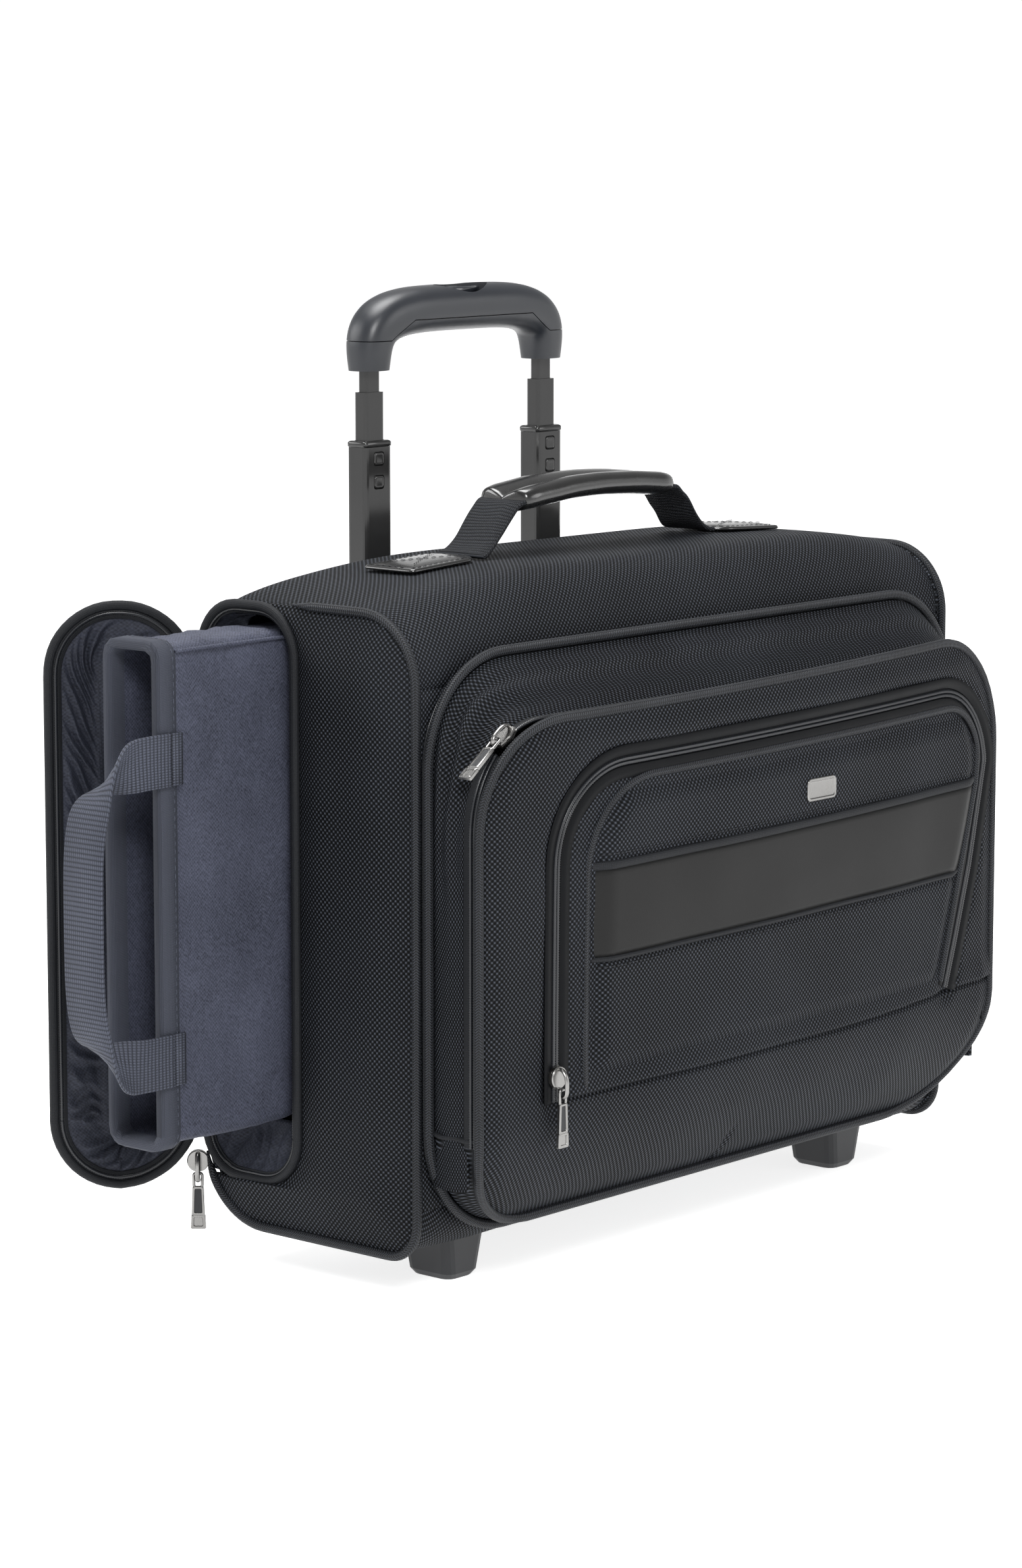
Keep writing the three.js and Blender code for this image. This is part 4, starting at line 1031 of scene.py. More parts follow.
def pocket_panel():
    """The front pocket's padded face, with the grooves that its zip and seams pull into it."""
    from_zip = nearest(small_zip_path())
    turn_in = 1.4
    low, high, seam_level = POCKET_LOW - turn_in, POCKET_HIGH + turn_in, lower_seam(0)
    levels = [lerp(low, high, lerp(t, ease(t), 0.6)) for t in fractions(130)]
    across_seam = (-3, -1.8, -1.2, -0.8, -0.4, 0, 0.5, 1.2, 2.2, 3.5)
    levels = [z for z in levels if abs(z - seam_level) > 3.6] + [seam_level + step for step in across_seam]
    rows = []
    for level in sorted(levels):
        half = pocket_half(level, turn_in)
        row = []
        for t in fractions(110):
            x = lerp(-1, 1, t) * half
            z = level + (lower_seam(x) - seam_level) * hump(level - seam_level, 25)
            edge = max(0, min(half - abs(x), level - low, high - level))
            puff = 2.6 * smooth(edge, 0, 12) + wrinkle((x, 0, z), 55, 1.6, 8) * smooth(edge, 0, 20)
            groove = 2.4 * hump(from_zip(x, z), 8, 4)
            above = z - lower_seam(x)
            sewn = smooth(x, -156, -148)
            overlap = 1.9 * smooth(above, -0.9, 0.6) * hump(max(0, above), 9) * sewn
            seam = 1.5 * hump(above + 1.0, 1.3) * sewn
            dart = 1.3 * hump(x + 4, 2.2) * smooth(62 - z, 0, 12)
            row.append(on_pocket(x, z, puff + overlap - groove - seam - dart))
        rows.append(row)
    return Shape().grid(rows, uv=facing_front)


def on_small_pocket(x, z, lift=0.0):
    """A point on the small pocket's padded face."""
    left, right = small_edges(z)
    edge = min(x - left, right - x, SMALL_HIGH - z)
    puff = (1.0 + 5.0 * smooth(edge, 0, 15)) * smooth(z, SMALL_LOW - 3, SMALL_LOW + 12)
    soft = wrinkle((x, 3, z), 50, 1.2, 9) * smooth(edge, 0, 20)
    return on_pocket(x, z, puff + soft + lift)


def small_pocket():
    """The small pocket's face, sunk where the trim band and its strip are sewn down."""
    rows = []
    for t in fractions(110):
        z = lerp(SMALL_LOW - 3, SMALL_HIGH, math.sin(t * math.pi / 2))
        left, right = small_edges(z)
        sunk = 1.4 * hump(z - BAND_LOW + 2, 2.4) + 0.9 * hump(z - BAND_HIGH - 5.5, 1.6)
        rows.append([on_small_pocket(lerp(left, right, ease(t)), z, -sunk) for t in fractions(80)])
    return Shape().grid(rows, uv=facing_front)


def across_small_pocket(low, high, steps, lift):
    """A strip right across the small pocket between two heights; lift(t) is how far it stands out."""
    rows = []
    for t in fractions(steps):
        z = lerp(low, high, t)
        left, right = small_edges(z)
        xs = [lerp(left + 0.8, right - 0.8, ease(s)) for s in fractions(60)]
        rows.append([on_small_pocket(x, z, lift(t)) for x in xs])
    return Shape().grid(rows, uv=facing_front)


def pocket_piece(name, shape, material, nodes=(), thick=1.0):
    """A fabric layer on the front pocket, facing forwards."""
    return piece(name, shape, material, "front_pocket", nodes, solid=thick, away=(0, 0, 180))


def trim_bands():
    """The smooth band, the narrow stitched strip above it and the rolled fold along its lower edge."""

    def swell(height, power, base):
        return lambda t: base + height * math.sin(math.pi * t) ** power

    band = across_small_pocket(BAND_LOW, BAND_HIGH, 14, swell(0.6, 0.5, 0.5))
    pocket_piece("smooth_trim_band", band, BAND, ["trim_band"])
    strip = across_small_pocket(BAND_HIGH - 0.4, BAND_HIGH + 4.2, 6, swell(1.2, 0.6, 0.2))
    pocket_piece("band_upper_strip", strip, BINDING, thick=0.8)
    fold = across_small_pocket(BAND_LOW - 2.6, BAND_LOW + 0.6, 6, swell(1.9, 0.6, -0.4))
    pocket_piece("band_lower_fold", fold, BINDING, thick=0.8)


def lid_gusset():
    """The sloping fabric between the lid's back and its zip, gathered at its upper left corner."""
    foot = MOUTH_LOW - 22
    rear_arch = resample(arch(LID_HALF, foot, LID_HIGH, LID_RADIUS), 6)
    front_arch = resample(arch(MOUTH_HALF, foot, MOUTH_HIGH, LID_RADIUS), 6)
    front_arch = pair_up(front_arch, len(rear_arch))
    rows = []
    for t in fractions(32):
        row = []
        for a, b in zip(rear_arch, front_arch):
            x, z = lerp(a.x, b.x, t), lerp(a.y, b.y, t)
            out = Vector((x, 0, z - 180)).normalized()
            gathered = hump(x + 185, 50) * hump(z - 275, 55)
            turns = 2.3 * t + wrinkle((x, 0, z), 30, 0.5, 16)
            folds = 3.2 * math.sin(2 * math.pi * turns) * gathered
            puff = math.sin(math.pi * t) * (2.2 + wrinkle((x, t * 22, z), 30, 1.4, 10) + folds)
            row.append(Vector((x, lerp(-5.8, MOUTH_Y, t), z)) + out * puff)
        rows.append(row)
    return Shape().grid(rows)


def lid():
    steps = [(0.3, 3.2), (0, 4.5), (0.6, 5.9), (6, 6.2), (30, 6.3)]
    count = len(resample(lid_outline(), 9, True))

    def ring(inset):
        points = resample(lid_outline(-inset), 9, True)
        return [points[round(i * len(points) / count) % len(points)] for i in range(count)]

    back = dish(ring, steps, front, cap_first=True)
    piece("lid_back", back, NYLON, "organiser_lid", ["organiser_back_panel"])
    cloth, nodes = lid_gusset(), ["organiser_gusset"]
    gusset = piece("lid_gusset", cloth, NYLON, "organiser_lid", nodes, solid=2.2, away=(0, -15, 150))
    edge = [Vector((p.x, -5.5, p.y)) for p in resample(lid_outline(2.8), 4, True)]
    cord = tube(edge, CORD_RADIUS, 10, True, -AHEAD)
    piece("lid_piping", cord, PIPING, "organiser_lid", ["organiser_piping"])
    ring_path = [Vector((p.x, -1.6, p.y)) for p in resample(lid_outline(0.2), 4, True)]
    outward = [Vector((p.x, 0, p.z - 173)).normalized() for p in ring_path]
    tape = ribbon(ring_path, outward, 2.4, 6, lift=-3.2, closed=True)
    piece("main_zip_tape", tape, TAPE, "shell", ["main_zip"])
    piece("main_zip_coil", coil_along(ring_path, outward, True), COIL, "shell")


def pocket_zip():
    """Closed up the left side as far as its slider, then open over the top and down the right."""

    def away_from_middle(p):
        """Outwards from the zip's outline at (x, z), round its corners too."""
        corner = Vector((clamp(p.x, centre.x, -centre.x), min(p.y, centre.y)))
        return Vector((p.x - corner.x, 0, p.y - corner.y)).normalized()

    centre = Vector((-MOUTH_HALF + LID_RADIUS, MOUTH_HIGH - LID_RADIUS))
    closed = [(-MOUTH_HALF, MOUTH_LOW)]
    closed += arc(centre.x, centre.y, LID_RADIUS, 180, SLIDER_ANGLE + 6, 8)
    path, normals = [], []
    for p in resample(closed, 3):
        out = away_from_middle(p)
        path.append(Vector((p.x, -32.5, p.y)) + out * 0.6)
        normals.append((out + Vector((0, -0.25, 0))).normalized())
    tape, coil = zip_parts(path, normals, 5.0)
    opened = arc(centre.x, centre.y, LID_RADIUS, SLIDER_ANGLE - 4, 90, 6)
    opened += arc(MOUTH_HALF - LID_RADIUS, centre.y, LID_RADIUS, 90, 0, 12) + [(MOUTH_HALF, MOUTH_LOW)]
    opened = resample(opened, 3)
    rear_normals = [away_from_middle(p) for p in opened]
    rear = [Vector((p.x, MOUTH_Y - 1.6, p.y)) + out * 0.6 for p, out in zip(opened, rear_normals)]
    rear_tape = ribbon(rear, rear_normals, 4.5, 0.8)
    edge = [p + Vector((0, -2.4, 0)) for p in rear]
    rear_coil = coil_along(edge, rear_normals, lift=0, strands=(0,))
    piece("pocket_zip_tape", tape.add(rear_tape), TAPE, "organiser_lid", ["front_pocket_zip"])
    piece("pocket_zip_coil", coil.add(rear_coil), COIL, "organiser_lid")
    right_side = [i for i, p in enumerate(rear) if p.x > 120]
    lining_path = [rear[i] - rear_normals[i] * 3.5 for i in right_side]
    lining_normals = [rear_normals[i] for i in right_side]
    strip = band_along(lining_path, lining_normals, [(-2, 0), (2, 0.6), (5, 0.4), (8.5, -1.2)])
    piece("pocket_inner_strip", strip, BINDING, "organiser_lid", solid=0.8)
    lip = [on_pocket(p.x * 0.994, p.y - 2.5, -5.2) for p in opened]
    piece("pocket_lip_tape", ribbon(lip, rear_normals, 5.5, 0.8), TAPE, "front_pocket")
    lip_edge = [p + Vector((0, 2.8, 0)) for p in lip]
    lip_coil = coil_along(lip_edge, rear_normals, lift=0, strands=(0,))
    piece("pocket_lip_coil", lip_coil, COIL, "front_pocket")


def foot_line(half, low, radius, high):
    """From height `high` down the left side, round the foot and up the right side, as (x, z)."""
    start = math.degrees(math.asin((low + radius - high) / radius))
    left = arc(-half + radius, low + radius, radius, 180 + start, 270, 14)
    return resample(left + arc(half - radius, low + radius, radius, 270, 360 - start, 14), 1, count=170)


def pocket_gusset():
    """The fabric that joins the pocket to the lid below its zip."""
    top = MOUTH_LOW + 4
    rear_line = [Vector((p.x, -6.0, p.y)) for p in foot_line(LID_HALF, LID_LOW, LID_RADIUS, top)]
    front_outline = foot_line(POCKET_HALF + 1, POCKET_LOW - 1, POCKET_LOW_RADIUS + 1, top)
    front_line = [on_pocket(p.x, p.y, -1.5) for p in front_outline]
    rows = []
    for t in fractions(12):
        row = []
        for a, b in zip(rear_line, front_line):
            p = a.lerp(b, t)
            out = Vector((p.x, 0, p.z - 180)).normalized()
            soft = 0.08 * math.sin(math.pi * t) + 0.03 * math.sin(3 * math.pi * t)
            row.append(p + out * ((a - b).length * soft))
        rows.append(row)
    cloth = Shape().grid(rows)
    both = ["front_pocket_gusset_left", "front_pocket_gusset_right"]
    gusset = piece("pocket_gusset", cloth, NYLON, None, both, solid=1.4, away=(0, -20, 120))
    hems = Shape()
    for i in (0, -1):
        hems.add(tube([row[i] for row in rows], 1.3, 8))
    hems = piece("pocket_gusset_hems", hems, BINDING, None)
    for obj in (gusset, hems):
        bend(obj, (0, -34, 60))


def pockets():
    panel = pocket_piece("front_pocket_face", pocket_panel(), NYLON, ["front_pocket_panel"], 3)
    pocket_gusset()
    out = 3.2
    radii = [POCKET_LOW_RADIUS + out] * 2 + [POCKET_HIGH_RADIUS + out] * 2
    outline = rounded(-POCKET_HALF - out, POCKET_HALF + out, POCKET_LOW - 1.5, POCKET_HIGH + out, radii)
    path = [on_pocket(p.x, p.y, lerp(1.0, -1.2, smooth(p.y, 36, 60))) for p in resample(outline, 4, True)]
    cord = tube(path, CORD_RADIUS, 10, True, -AHEAD)
    piece("pocket_piping", cord, PIPING, "front_pocket", ["front_pocket_piping"])
    cushion = pocket_piece("small_pocket_face", small_pocket(), NYLON, ["small_pocket_panel"], 2.4)
    edge = [on_pocket(p.x, p.y, 1.6) for p in resample(small_outline(0.5), 4)]
    piece("small_pocket_piping", tube(edge, 2.2, 10, up=-AHEAD), PIPING, "front_pocket")
    line = small_zip_path()
    path = [on_pocket(p.x, p.y, 0.9) for p in line]
    normals = [pocket_normal(p.x, p.y) for p in line]
    tape, coil = zip_parts(path, normals, 6.5)
    piece("small_zip_tape", tape, TAPE, "front_pocket", ["small_pocket_zip"])
    piece("small_zip_coil", coil, COIL, "front_pocket")
    pocket_piece("small_zip_flaps", zip_flaps(path, normals, 2.3, 8.2, 0.9), FLAP, thick=0.7)
    trim_bands()
    seams = Shape()
    for height in (BAND_HIGH + 7.2, BAND_LOW - 5.2):
        a, b = small_edges(height)
        line = [on_small_pocket(x, height) for x in resample_line(a + 3, b - 3)]
        seams.add(dashes(line, [pocket_normal(p.x, p.z) for p in line]))
    line = [on_pocket(x, lower_seam(x) - 3.0, 2.0) for x in resample_line(-148, 196)]
    seams.add(dashes(line, [pocket_normal(p.x, p.z) for p in line]))
    piece("pocket_stitches", seams, THREAD, "front_pocket")


def resample_line(a, b, step=6):
    """Numbers from a to b, about `step` apart."""
    count = max(2, round(abs(b - a) / step))
    return [lerp(a, b, t) for t in fractions(count)]


def plate_outline(half_width, half_height, radius, steps):
    """A rounded plate about its own middle, drawn in by an inset."""

    def ring(inset):
        wide, high = half_width - inset, half_height - inset
        return rounded(-wide, wide, -high, high, max(0.3, radius - inset), steps)

    return ring


def badge():
    """A plain rounded plate with a raised rim."""
    low, high = box_mm("badge_plate")
    x, y, z = (low.x + high.x) / 2, low.y, (low.z + high.z) / 2

    def place(a, b, depth):
        return Vector((x + a, y + 1.6 - depth, z + b))

    rim = [(0.2, -1.6), (0, 0), (0.15, 0.9), (0.5, 1.25), (1.4, 1.25)]
    face = [(1.9, 0.8), (2.6, 0.75)]
    plate = dish(plate_outline(12, 6, 3, 6), rim + face, place, True)
    piece("plain_badge", plate, NICKEL, "front_pocket", ["badge_plate"], sharp=25)


lid()
pocket_zip()
pockets()
badge()


# ---- The laptop door ----
DOOR_TURN = Matrix.Rotation(math.radians(-40), 4, "Z")
DOOR_HINGE = Vector((-HALF_WIDTH, 141, 0))
DOOR_LEFT, DOOR_RIGHT, DOOR_LOW, DOOR_HIGH = -77, -5, 38, 330
DOOR_RADII = (34, 40, 36, 34)


def door_outline(inset=0.0):
    """The door's outline in its own plane, measured from its hinge."""
    radii = [max(2, r - inset) for r in DOOR_RADII]
    return rounded(DOOR_LEFT + inset, DOOR_RIGHT - inset, DOOR_LOW + inset, DOOR_HIGH - inset, radii)


def door_place(a, b, depth):
    """Places the door's own (x, z) outline; depth runs from its zipped edge towards its outer face."""
    return DOOR_HINGE + DOOR_TURN @ Vector((a, depth, b))


def gathered_lining():
    """The door's lining, pleated round its edge and dished towards its middle."""
    deepest = 10.5
    rows = []
    for t in fractions(21):
        depth = 4.4 + 5.4 * smooth(t, 0.05, 1)
        pleated = smooth(t, 0, 0.25) * (1 - smooth(t, 0.7, 1))
        row = []
        for i, (a, b) in enumerate(resample_to(door_outline(5.5 + 20 * t**0.8), 420)):
            pleat = 2.6 * gathers(i, t, 0.42, 8) * pleated
            soft = wrinkle((a, 0, b), 16, 1.6, 17) * smooth(t, 0.2, 0.6)
            row.append(door_place(a, b, min(deepest, depth - pleat + soft)))
        rows.append(row)
    return Shape().grid(rows, wrap=True, uv=facing_front).cap(rows[-1], uv=facing_front)


def door_hinge():
    """The cloth that the door hangs on, sewn to the body's rear edge."""
    inside, thick, foot, head = -5.5, 9, 66, 302
    corner = Vector((-HALF_WIDTH - 0.5, DEPTH - 0.5, 180))
    rows = []
    for t in fractions(6):
        row = []
        for s in fractions(66):
            z = lerp(foot, head, s)
            sewn, hung = Vector((corner.x, corner.y, z)), door_place(inside, z, thick)
            sag = 1.2 * math.sin(math.pi * t) + wrinkle((0, t, z), 14, 0.5, 18)
            row.append(sewn.lerp(hung, t) + Vector((-1, 0.3, 0)) * sag)
        rows.append(row)
    cloth = Shape().grid(rows)
    hinge = piece("door_hinge_cloth", cloth, NYLON, None, solid=1.2, away=(-180, 170, 180))
    bend(hinge, door_place(inside, corner.z, thick))


def door():
    def even(inset):
        return [tuple(p) for p in resample_to(door_outline(inset), 150)]

    shell_steps = [(2.6, 4.6), (0.4, 4.4), (0, 6), (0.2, 9.5), (2.2, 11.2), (8, 12.2), (20, 12.8), (30, 13)]
    shape = dish(even, shell_steps, door_place)
    outside = piece("door_outer", shape, NYLON, "laptop_door", ["laptop_door_panel"], solid=1.5)
    edge = [door_place(a, b, 4.6) for a, b in even(0.6)]
    piece("door_binding", tube(edge, 2.5, 10, True), BINDING, "laptop_door", ["laptop_door_rim"])
    line = [door_place(a, b, 3.9) for a, b in even(4.2)]
    normals = [DOOR_TURN @ AHEAD] * len(line)
    piece("door_zip_tape", ribbon(line, normals, 5.6, 0.7, closed=True), TAPE, "laptop_door")
    piece("door_zip_coil", coil_along(line, normals, True, strands=(0,)), COIL, "laptop_door")
    door_hinge()
    # The door's lining uses the lining's darkened colours: painted shade.
    cloth = piece("door_lining", gathered_lining(), SHADED_LINING, "laptop_door", solid=0.8)


# ---- The laptop sleeve ----
def sleeve_section(out=0.0):
    """The sleeve's section as evenly spaced (y, z) points, grown outwards."""
    return resample_to(sleeve_outline(out, 7 + out), 120)


def sleeve_body():
    """The padded sleeve, closed at its far end, with softer dents along its top."""
    rows = []
    for t in fractions(80):
        x = lerp(SLEEVE_MOUTH + 1, SLEEVE_END, t)
        ends = smooth(x, SLEEVE_MOUTH, SLEEVE_MOUTH + 20)
        row = []
        for y, z in sleeve_section():
            p = Vector((x, y, z))
            middle = Vector((x, SLEEVE_Y, clamp(z, SLEEVE_LOW + 17, SLEEVE_HIGH - 17)))
            on_top = smooth(z, SLEEVE_HIGH - 7, SLEEVE_HIGH - 1)
            soft = wrinkle((x, y * 2, z), 38, 1.5, 12) + wrinkle((x * 1.4, y, z), 12, 0.6 + 1.3 * on_top, 13)
            row.append(p + (p - middle).normalized() * (soft * ends - 0.6))
        rows.append(row)
    return Shape().grid(rows, wrap=True).cap(rows[-1])


def sleeve():
    nodes = ["sleeve_front_panel", "sleeve_back_panel", "sleeve_gusset"]
    pad = piece("sleeve_body", sleeve_body(), LINING, "laptop_sleeve", nodes, solid=2.6)
    wrap = [(12, 0.2), (11.6, 1.3), (6, 1.6), (1, 1.5), (-0.6, 0.4)]
    wrap += [(-0.8, -1.4), (-0.4, -3.0), (2, -4.0), (9, -4.2)]
    rows = [[Vector((SLEEVE_MOUTH + along, *p)) for p in sleeve_section(out)] for along, out in wrap]
    shape = Shape().grid(rows, wrap=True)
    piece("sleeve_binding", shape, LOOP_BIND, "laptop_sleeve", ["sleeve_mouth_binding"])
    around = [Vector((SLEEVE_MOUTH + 9.6, *p)) for p in resample_to(sleeve_section(1.6), 400)]
    normals = [Vector((0, p.y - SLEEVE_Y, clamp((p.z - 200) / 6, -20, 20))) for p in around]
    seams = dashes(around, normals)
    piece("sleeve_stitches", seams, SLATE_THREAD, "laptop_sleeve")
    ridge = [Vector((x, SLEEVE_FRONT - 0.6, SLEEVE_HIGH - 4)) for x in resample_line(SLEEVE_MOUTH + 12, -120)]
    piece("sleeve_top_seam", tube(ridge, 0.9, 8), LINING, "laptop_sleeve")


LOOP_X, LOOP_Y, LOOP_LOW, LOOP_HIGH, LOOP_REACH, LOOP_WIDTH = -290, 84.1, 122, 267, 58, 25


def squared(angle, power=4):
    """How far a squared-off circle of radius 1 reaches at this angle."""
    return (abs(math.cos(angle)) ** power + abs(math.sin(angle)) ** power) ** (-1 / power)


def loop_centre(t):
    """The middle of the sleeve's webbing loop, from its upper end round to its lower one."""
    angle = math.pi * t
    square = squared(angle)
    height = (LOOP_HIGH - LOOP_LOW) / 2
    x = LOOP_X - LOOP_REACH * math.sin(angle) * square
    return Vector((x, LOOP_Y, (LOOP_LOW + LOOP_HIGH) / 2 + height * math.cos(angle) * square))


def webbing_loop():
    half, thick = LOOP_WIDTH / 2, 0.9
    edge = [(half, thick), (half + 0.4, 0), (half, -thick)]
    section = [(-half, -thick), (-half - 0.4, 0), (-half, thick), (0, thick * 0.8), *edge, (0, -thick * 0.8)]
    rows = []
    for t in fractions(90):
        along = (loop_centre(min(1, t + 0.01)) - loop_centre(max(0, t - 0.01))).normalized()
        twist = smooth(min(t, 1 - t), 0.1, 0.3) * math.pi / 2
        in_plane = along.cross(-AHEAD).normalized()
        across = in_plane * math.cos(twist) - AHEAD * math.sin(twist)
        normal = across.cross(along)
        rows.append([loop_centre(t) + across * a + normal * b for a, b in section])
    piece("webbing_loop", lofted(rows), LOOP_WEB, "sleeve_handle", ["sleeve_handle"])
    tabs = Shape()
    for z in (LOOP_LOW, LOOP_HIGH):
        line = [Vector((x, LOOP_Y + 0.6, z)) for x in resample_line(LOOP_X + 1, LOOP_X + 8, 3)]
        tabs.add(ribbon(line, [AHEAD] * len(line), LOOP_WIDTH, 1.6))
    piece("loop_ends", tabs, LOOP_WEB, "laptop_sleeve")


door()
sleeve()
webbing_loop()


# ---- The carry handle ----
HANDLE_Y, HANDLE_SPAN, HANDLE_BASE, HANDLE_RISE, GRIP_HALF = 77, 92, 348.5, 28, 60


def strap_height(x):
    """The strap lies in a low bow in the hand and drops in an S to each patch."""
    far = abs(x)
    if far <= GRIP_HALF:
        return HANDLE_BASE + HANDLE_RISE - 4 * (far / GRIP_HALF) ** 2
    left = 1 - smooth(far, GRIP_HALF - 1, HANDLE_SPAN - 1)
    return HANDLE_BASE - 0.8 + (HANDLE_RISE - 3.2) * left


def strap(low, high, count):
    """A length of the handle's webbing between two places across the case."""
    half = 15
    over = [(-half, 2.3), (-7, 2.4), (0, 2.5), (7, 2.4), (half, 2.3)]
    section = [*over, (half + 0.3, 1.2), *[(a, b - 2.2) for a, b in reversed(over)], (-half - 0.3, 1.2)]
    rows = []
    for t in fractions(count):
        x = lerp(low, high, t)
        loose = smooth(abs(x), GRIP_HALF, GRIP_HALF + 8) * smooth(HANDLE_SPAN - abs(x), 0, 8)
        row = []
        for a, b in section:
            crinkle = wrinkle((x, a * 0.6, 0), 7, 1.6 * loose, 19)
            row.append(Vector((x, HANDLE_Y + a * (1 - 0.04 * loose), strap_height(x) + b + crinkle)))
        rows.append(row)
    return lofted(rows)


def handle_wrap():
    """The padded leather round the strap, with a rolled edge each side of the seam on top."""
    under = [(-17.4, 1.5), (-16.8, -2.2), (-13, -4.6), (-6, -5.6)]
    over = [(16.4, 5), (13, 6.9), (8.6, 6.8), (4, 5.2), (1.2, 3.4)]
    half_under = [*under, (0, -5.8), *[(-a, b) for a, b in reversed(under)]]
    profile = [*half_under, *over, (0, 2.6), *[(-a, b) for a, b in reversed(over)]]
    count = 40
    rows = []
    for k in range(count + 1):
        x = lerp(-GRIP_HALF - 1, GRIP_HALF - 1, k / count)
        z = strap_height(x) + 1.2
        size = 0.9 + 0.1 * smooth(min(k, count - k), 0, 3)
        row = []
        for a, b in profile:
            row.append(Vector((x, HANDLE_Y + a * size, z + b * size + wrinkle((x, a, 0), 22, 0.5, 15))))
        rows.append(row)
    return lofted(rows)


def handle_patch(side, name):
    """A sewn leather patch under one end of the strap; returns its stitches."""
    centre, node = side * (HANDLE_SPAN + 28), f"handle_patch_{name}"
    base = box_mm(node)[0].z
    half_length, half_width = 26, 17
    corners = (3, 13, 13, 3) if side < 0 else (13, 3, 3, 13)

    def ring(inset):
        radii = [max(1, r - inset) for r in corners]
        long, wide = half_length - inset, half_width - inset
        return rounded(-long, long, -wide, wide, radii, 6)

    def place(a, b, depth):
        drop = crown(centre + a, SHOULDER) - crown(centre, SHOULDER)
        return Vector((centre + a, HANDLE_Y + b, base + depth + drop))

    edge = [(0.3, -0.4), (0, 0.6), (0.3, 1.6), (1.2, 2.2)]
    patch = dish(ring, edge + [(3, 1.9), (4.2, 2.2), (9, 3.1)], place, True)
    piece(f"leather_patch_{name}", patch, GLOSS_LEATHER, "shell", [node], level=1)
    box_line = [place(a, b, 2.2) for a, b in resample_to(ring(3.4), 90)]
    stitches = dashes(box_line, [UP] * len(box_line))
    for slope in (-1, 1):
        cross = [place(lerp(-20, 20, t) * side, lerp(-11, 11, t) * slope, 3.2) for t in fractions(12)]
        stitches.add(dashes(cross, [UP] * len(cross)))
    return stitches


def carry_handle():
    middle = strap(-GRIP_HALF, GRIP_HALF, 30)
    piece("handle_strap", middle, BLACK_WEB, "carry_handle", ["handle_webbing"])
    for side, name in ((-1, "left"), (1, "right")):
        low, high = sorted((side * (GRIP_HALF - 4), side * HANDLE_SPAN))
        end = piece(f"strap_end_{name}", strap(low, high, 40), BLACK_WEB, None)
        sewn, held = side * (HANDLE_SPAN - 3), side * (GRIP_HALF + 2)
        bend(end, (held, HANDLE_Y, 350))
    nodes = ["handle_grip"]
    grip = piece("handle_wrap", handle_wrap(), GLOSS_LEATHER, "carry_handle", nodes, level=1)
    stitches = handle_patch(-1, "left").add(handle_patch(1, "right"))
    piece("patch_stitches", stitches, THREAD, "shell")


carry_handle()


# ---- The telescoping handle ----
TUBE_X, TUBE_Y = 67.3, 162
LEG_BOTTOM, BAR_CENTRE = 436, 466


def grip_centre(angle):
    """The grip's middle line: up from the left tube, across and down to the right one."""
    across, up = math.cos(angle) * squared(angle), math.sin(angle) * squared(angle)
    return Vector((-TUBE_X * across, TUBE_Y, LEG_BOTTOM + (BAR_CENTRE - LEG_BOTTOM) * up))


def grip_body():
    """The moulded grip, thicker along its bar than at its legs."""
    rows = []
    steps, around = 120, 40
    for i in range(steps + 1):
        angle = math.pi * i / steps
        bar = min(1, math.sin(angle) * 1.15)
        along = (grip_centre(angle + 0.01) - grip_centre(angle - 0.01)).normalized()
        if i in (0, steps):
            along = -UP if i else UP
        across = along.cross(-AHEAD).normalized()
        thick, deep = lerp(10.5, 12, bar), lerp(9, 13.5, bar)
        row = []
        for k in range(around):
            t = 2 * math.pi * k / around
            square = squared(t, 2.6)
            a, b = math.cos(t) * square * thick, math.sin(t) * square * deep
            row.append(grip_centre(angle) + across * a - AHEAD * b)
        rows.append(row)
    return lofted(rows)


def prism(outline, low, high):
    """A solid from an (x, z) outline between two depths (y)."""
    return lofted([[Vector((a, y, b)) for a, b in outline] for y in (low, high)])


def below_parting(shift):
    """Everything below the line where the grip's two shells meet, which steps up under the bar."""
    legs, bar, reach, floor = 451 + shift, 461 + shift, 100, 400
    outline = [(-reach, floor), (reach, floor), (reach, legs), (62, legs)]
    outline += [(46, bar), (-46, bar), (-62, legs), (-reach, legs)]
    return prism(outline, TUBE_Y - 30, TUBE_Y + 30)


def lens(half_length, half_width):
    """Two arcs that meet in points at the ends."""
    radius = (half_length**2 + half_width**2) / (2 * half_width)
    half = math.degrees(math.asin(half_length / radius))
    upper = arc(0, half_width - radius, radius, 90 - half, 90 + half, 14)
    return upper + arc(0, radius - half_width, radius, 270 - half, 270 + half, 14)[1:-1]


def cut(obj, shape, operation):
    """Cuts a piece with a solid and keeps the result as its mesh."""
    cutter = bpy.data.objects.new("cutter", clean_mesh("cutter", shape, with_uvs=False))
    bpy.context.scene.collection.objects.link(cutter)
    step = obj.modifiers.new("cut", "BOOLEAN")
    step.operation = operation
    step.object = cutter
    step.solver = "EXACT"
    settle(obj)
    bpy.data.objects.remove(cutter)


def bevelled(obj, width, segments=2, angle=35):
    """Rounds an object's sharp edges by a width in millimetres."""
    edge = obj.modifiers.new("edges", "BEVEL")
    edge.width = width * MM
    edge.segments = segments
    edge.limit_method = "ANGLE"
    edge.angle_limit = math.radians(angle)
    edge.harden_normals = False
    return obj


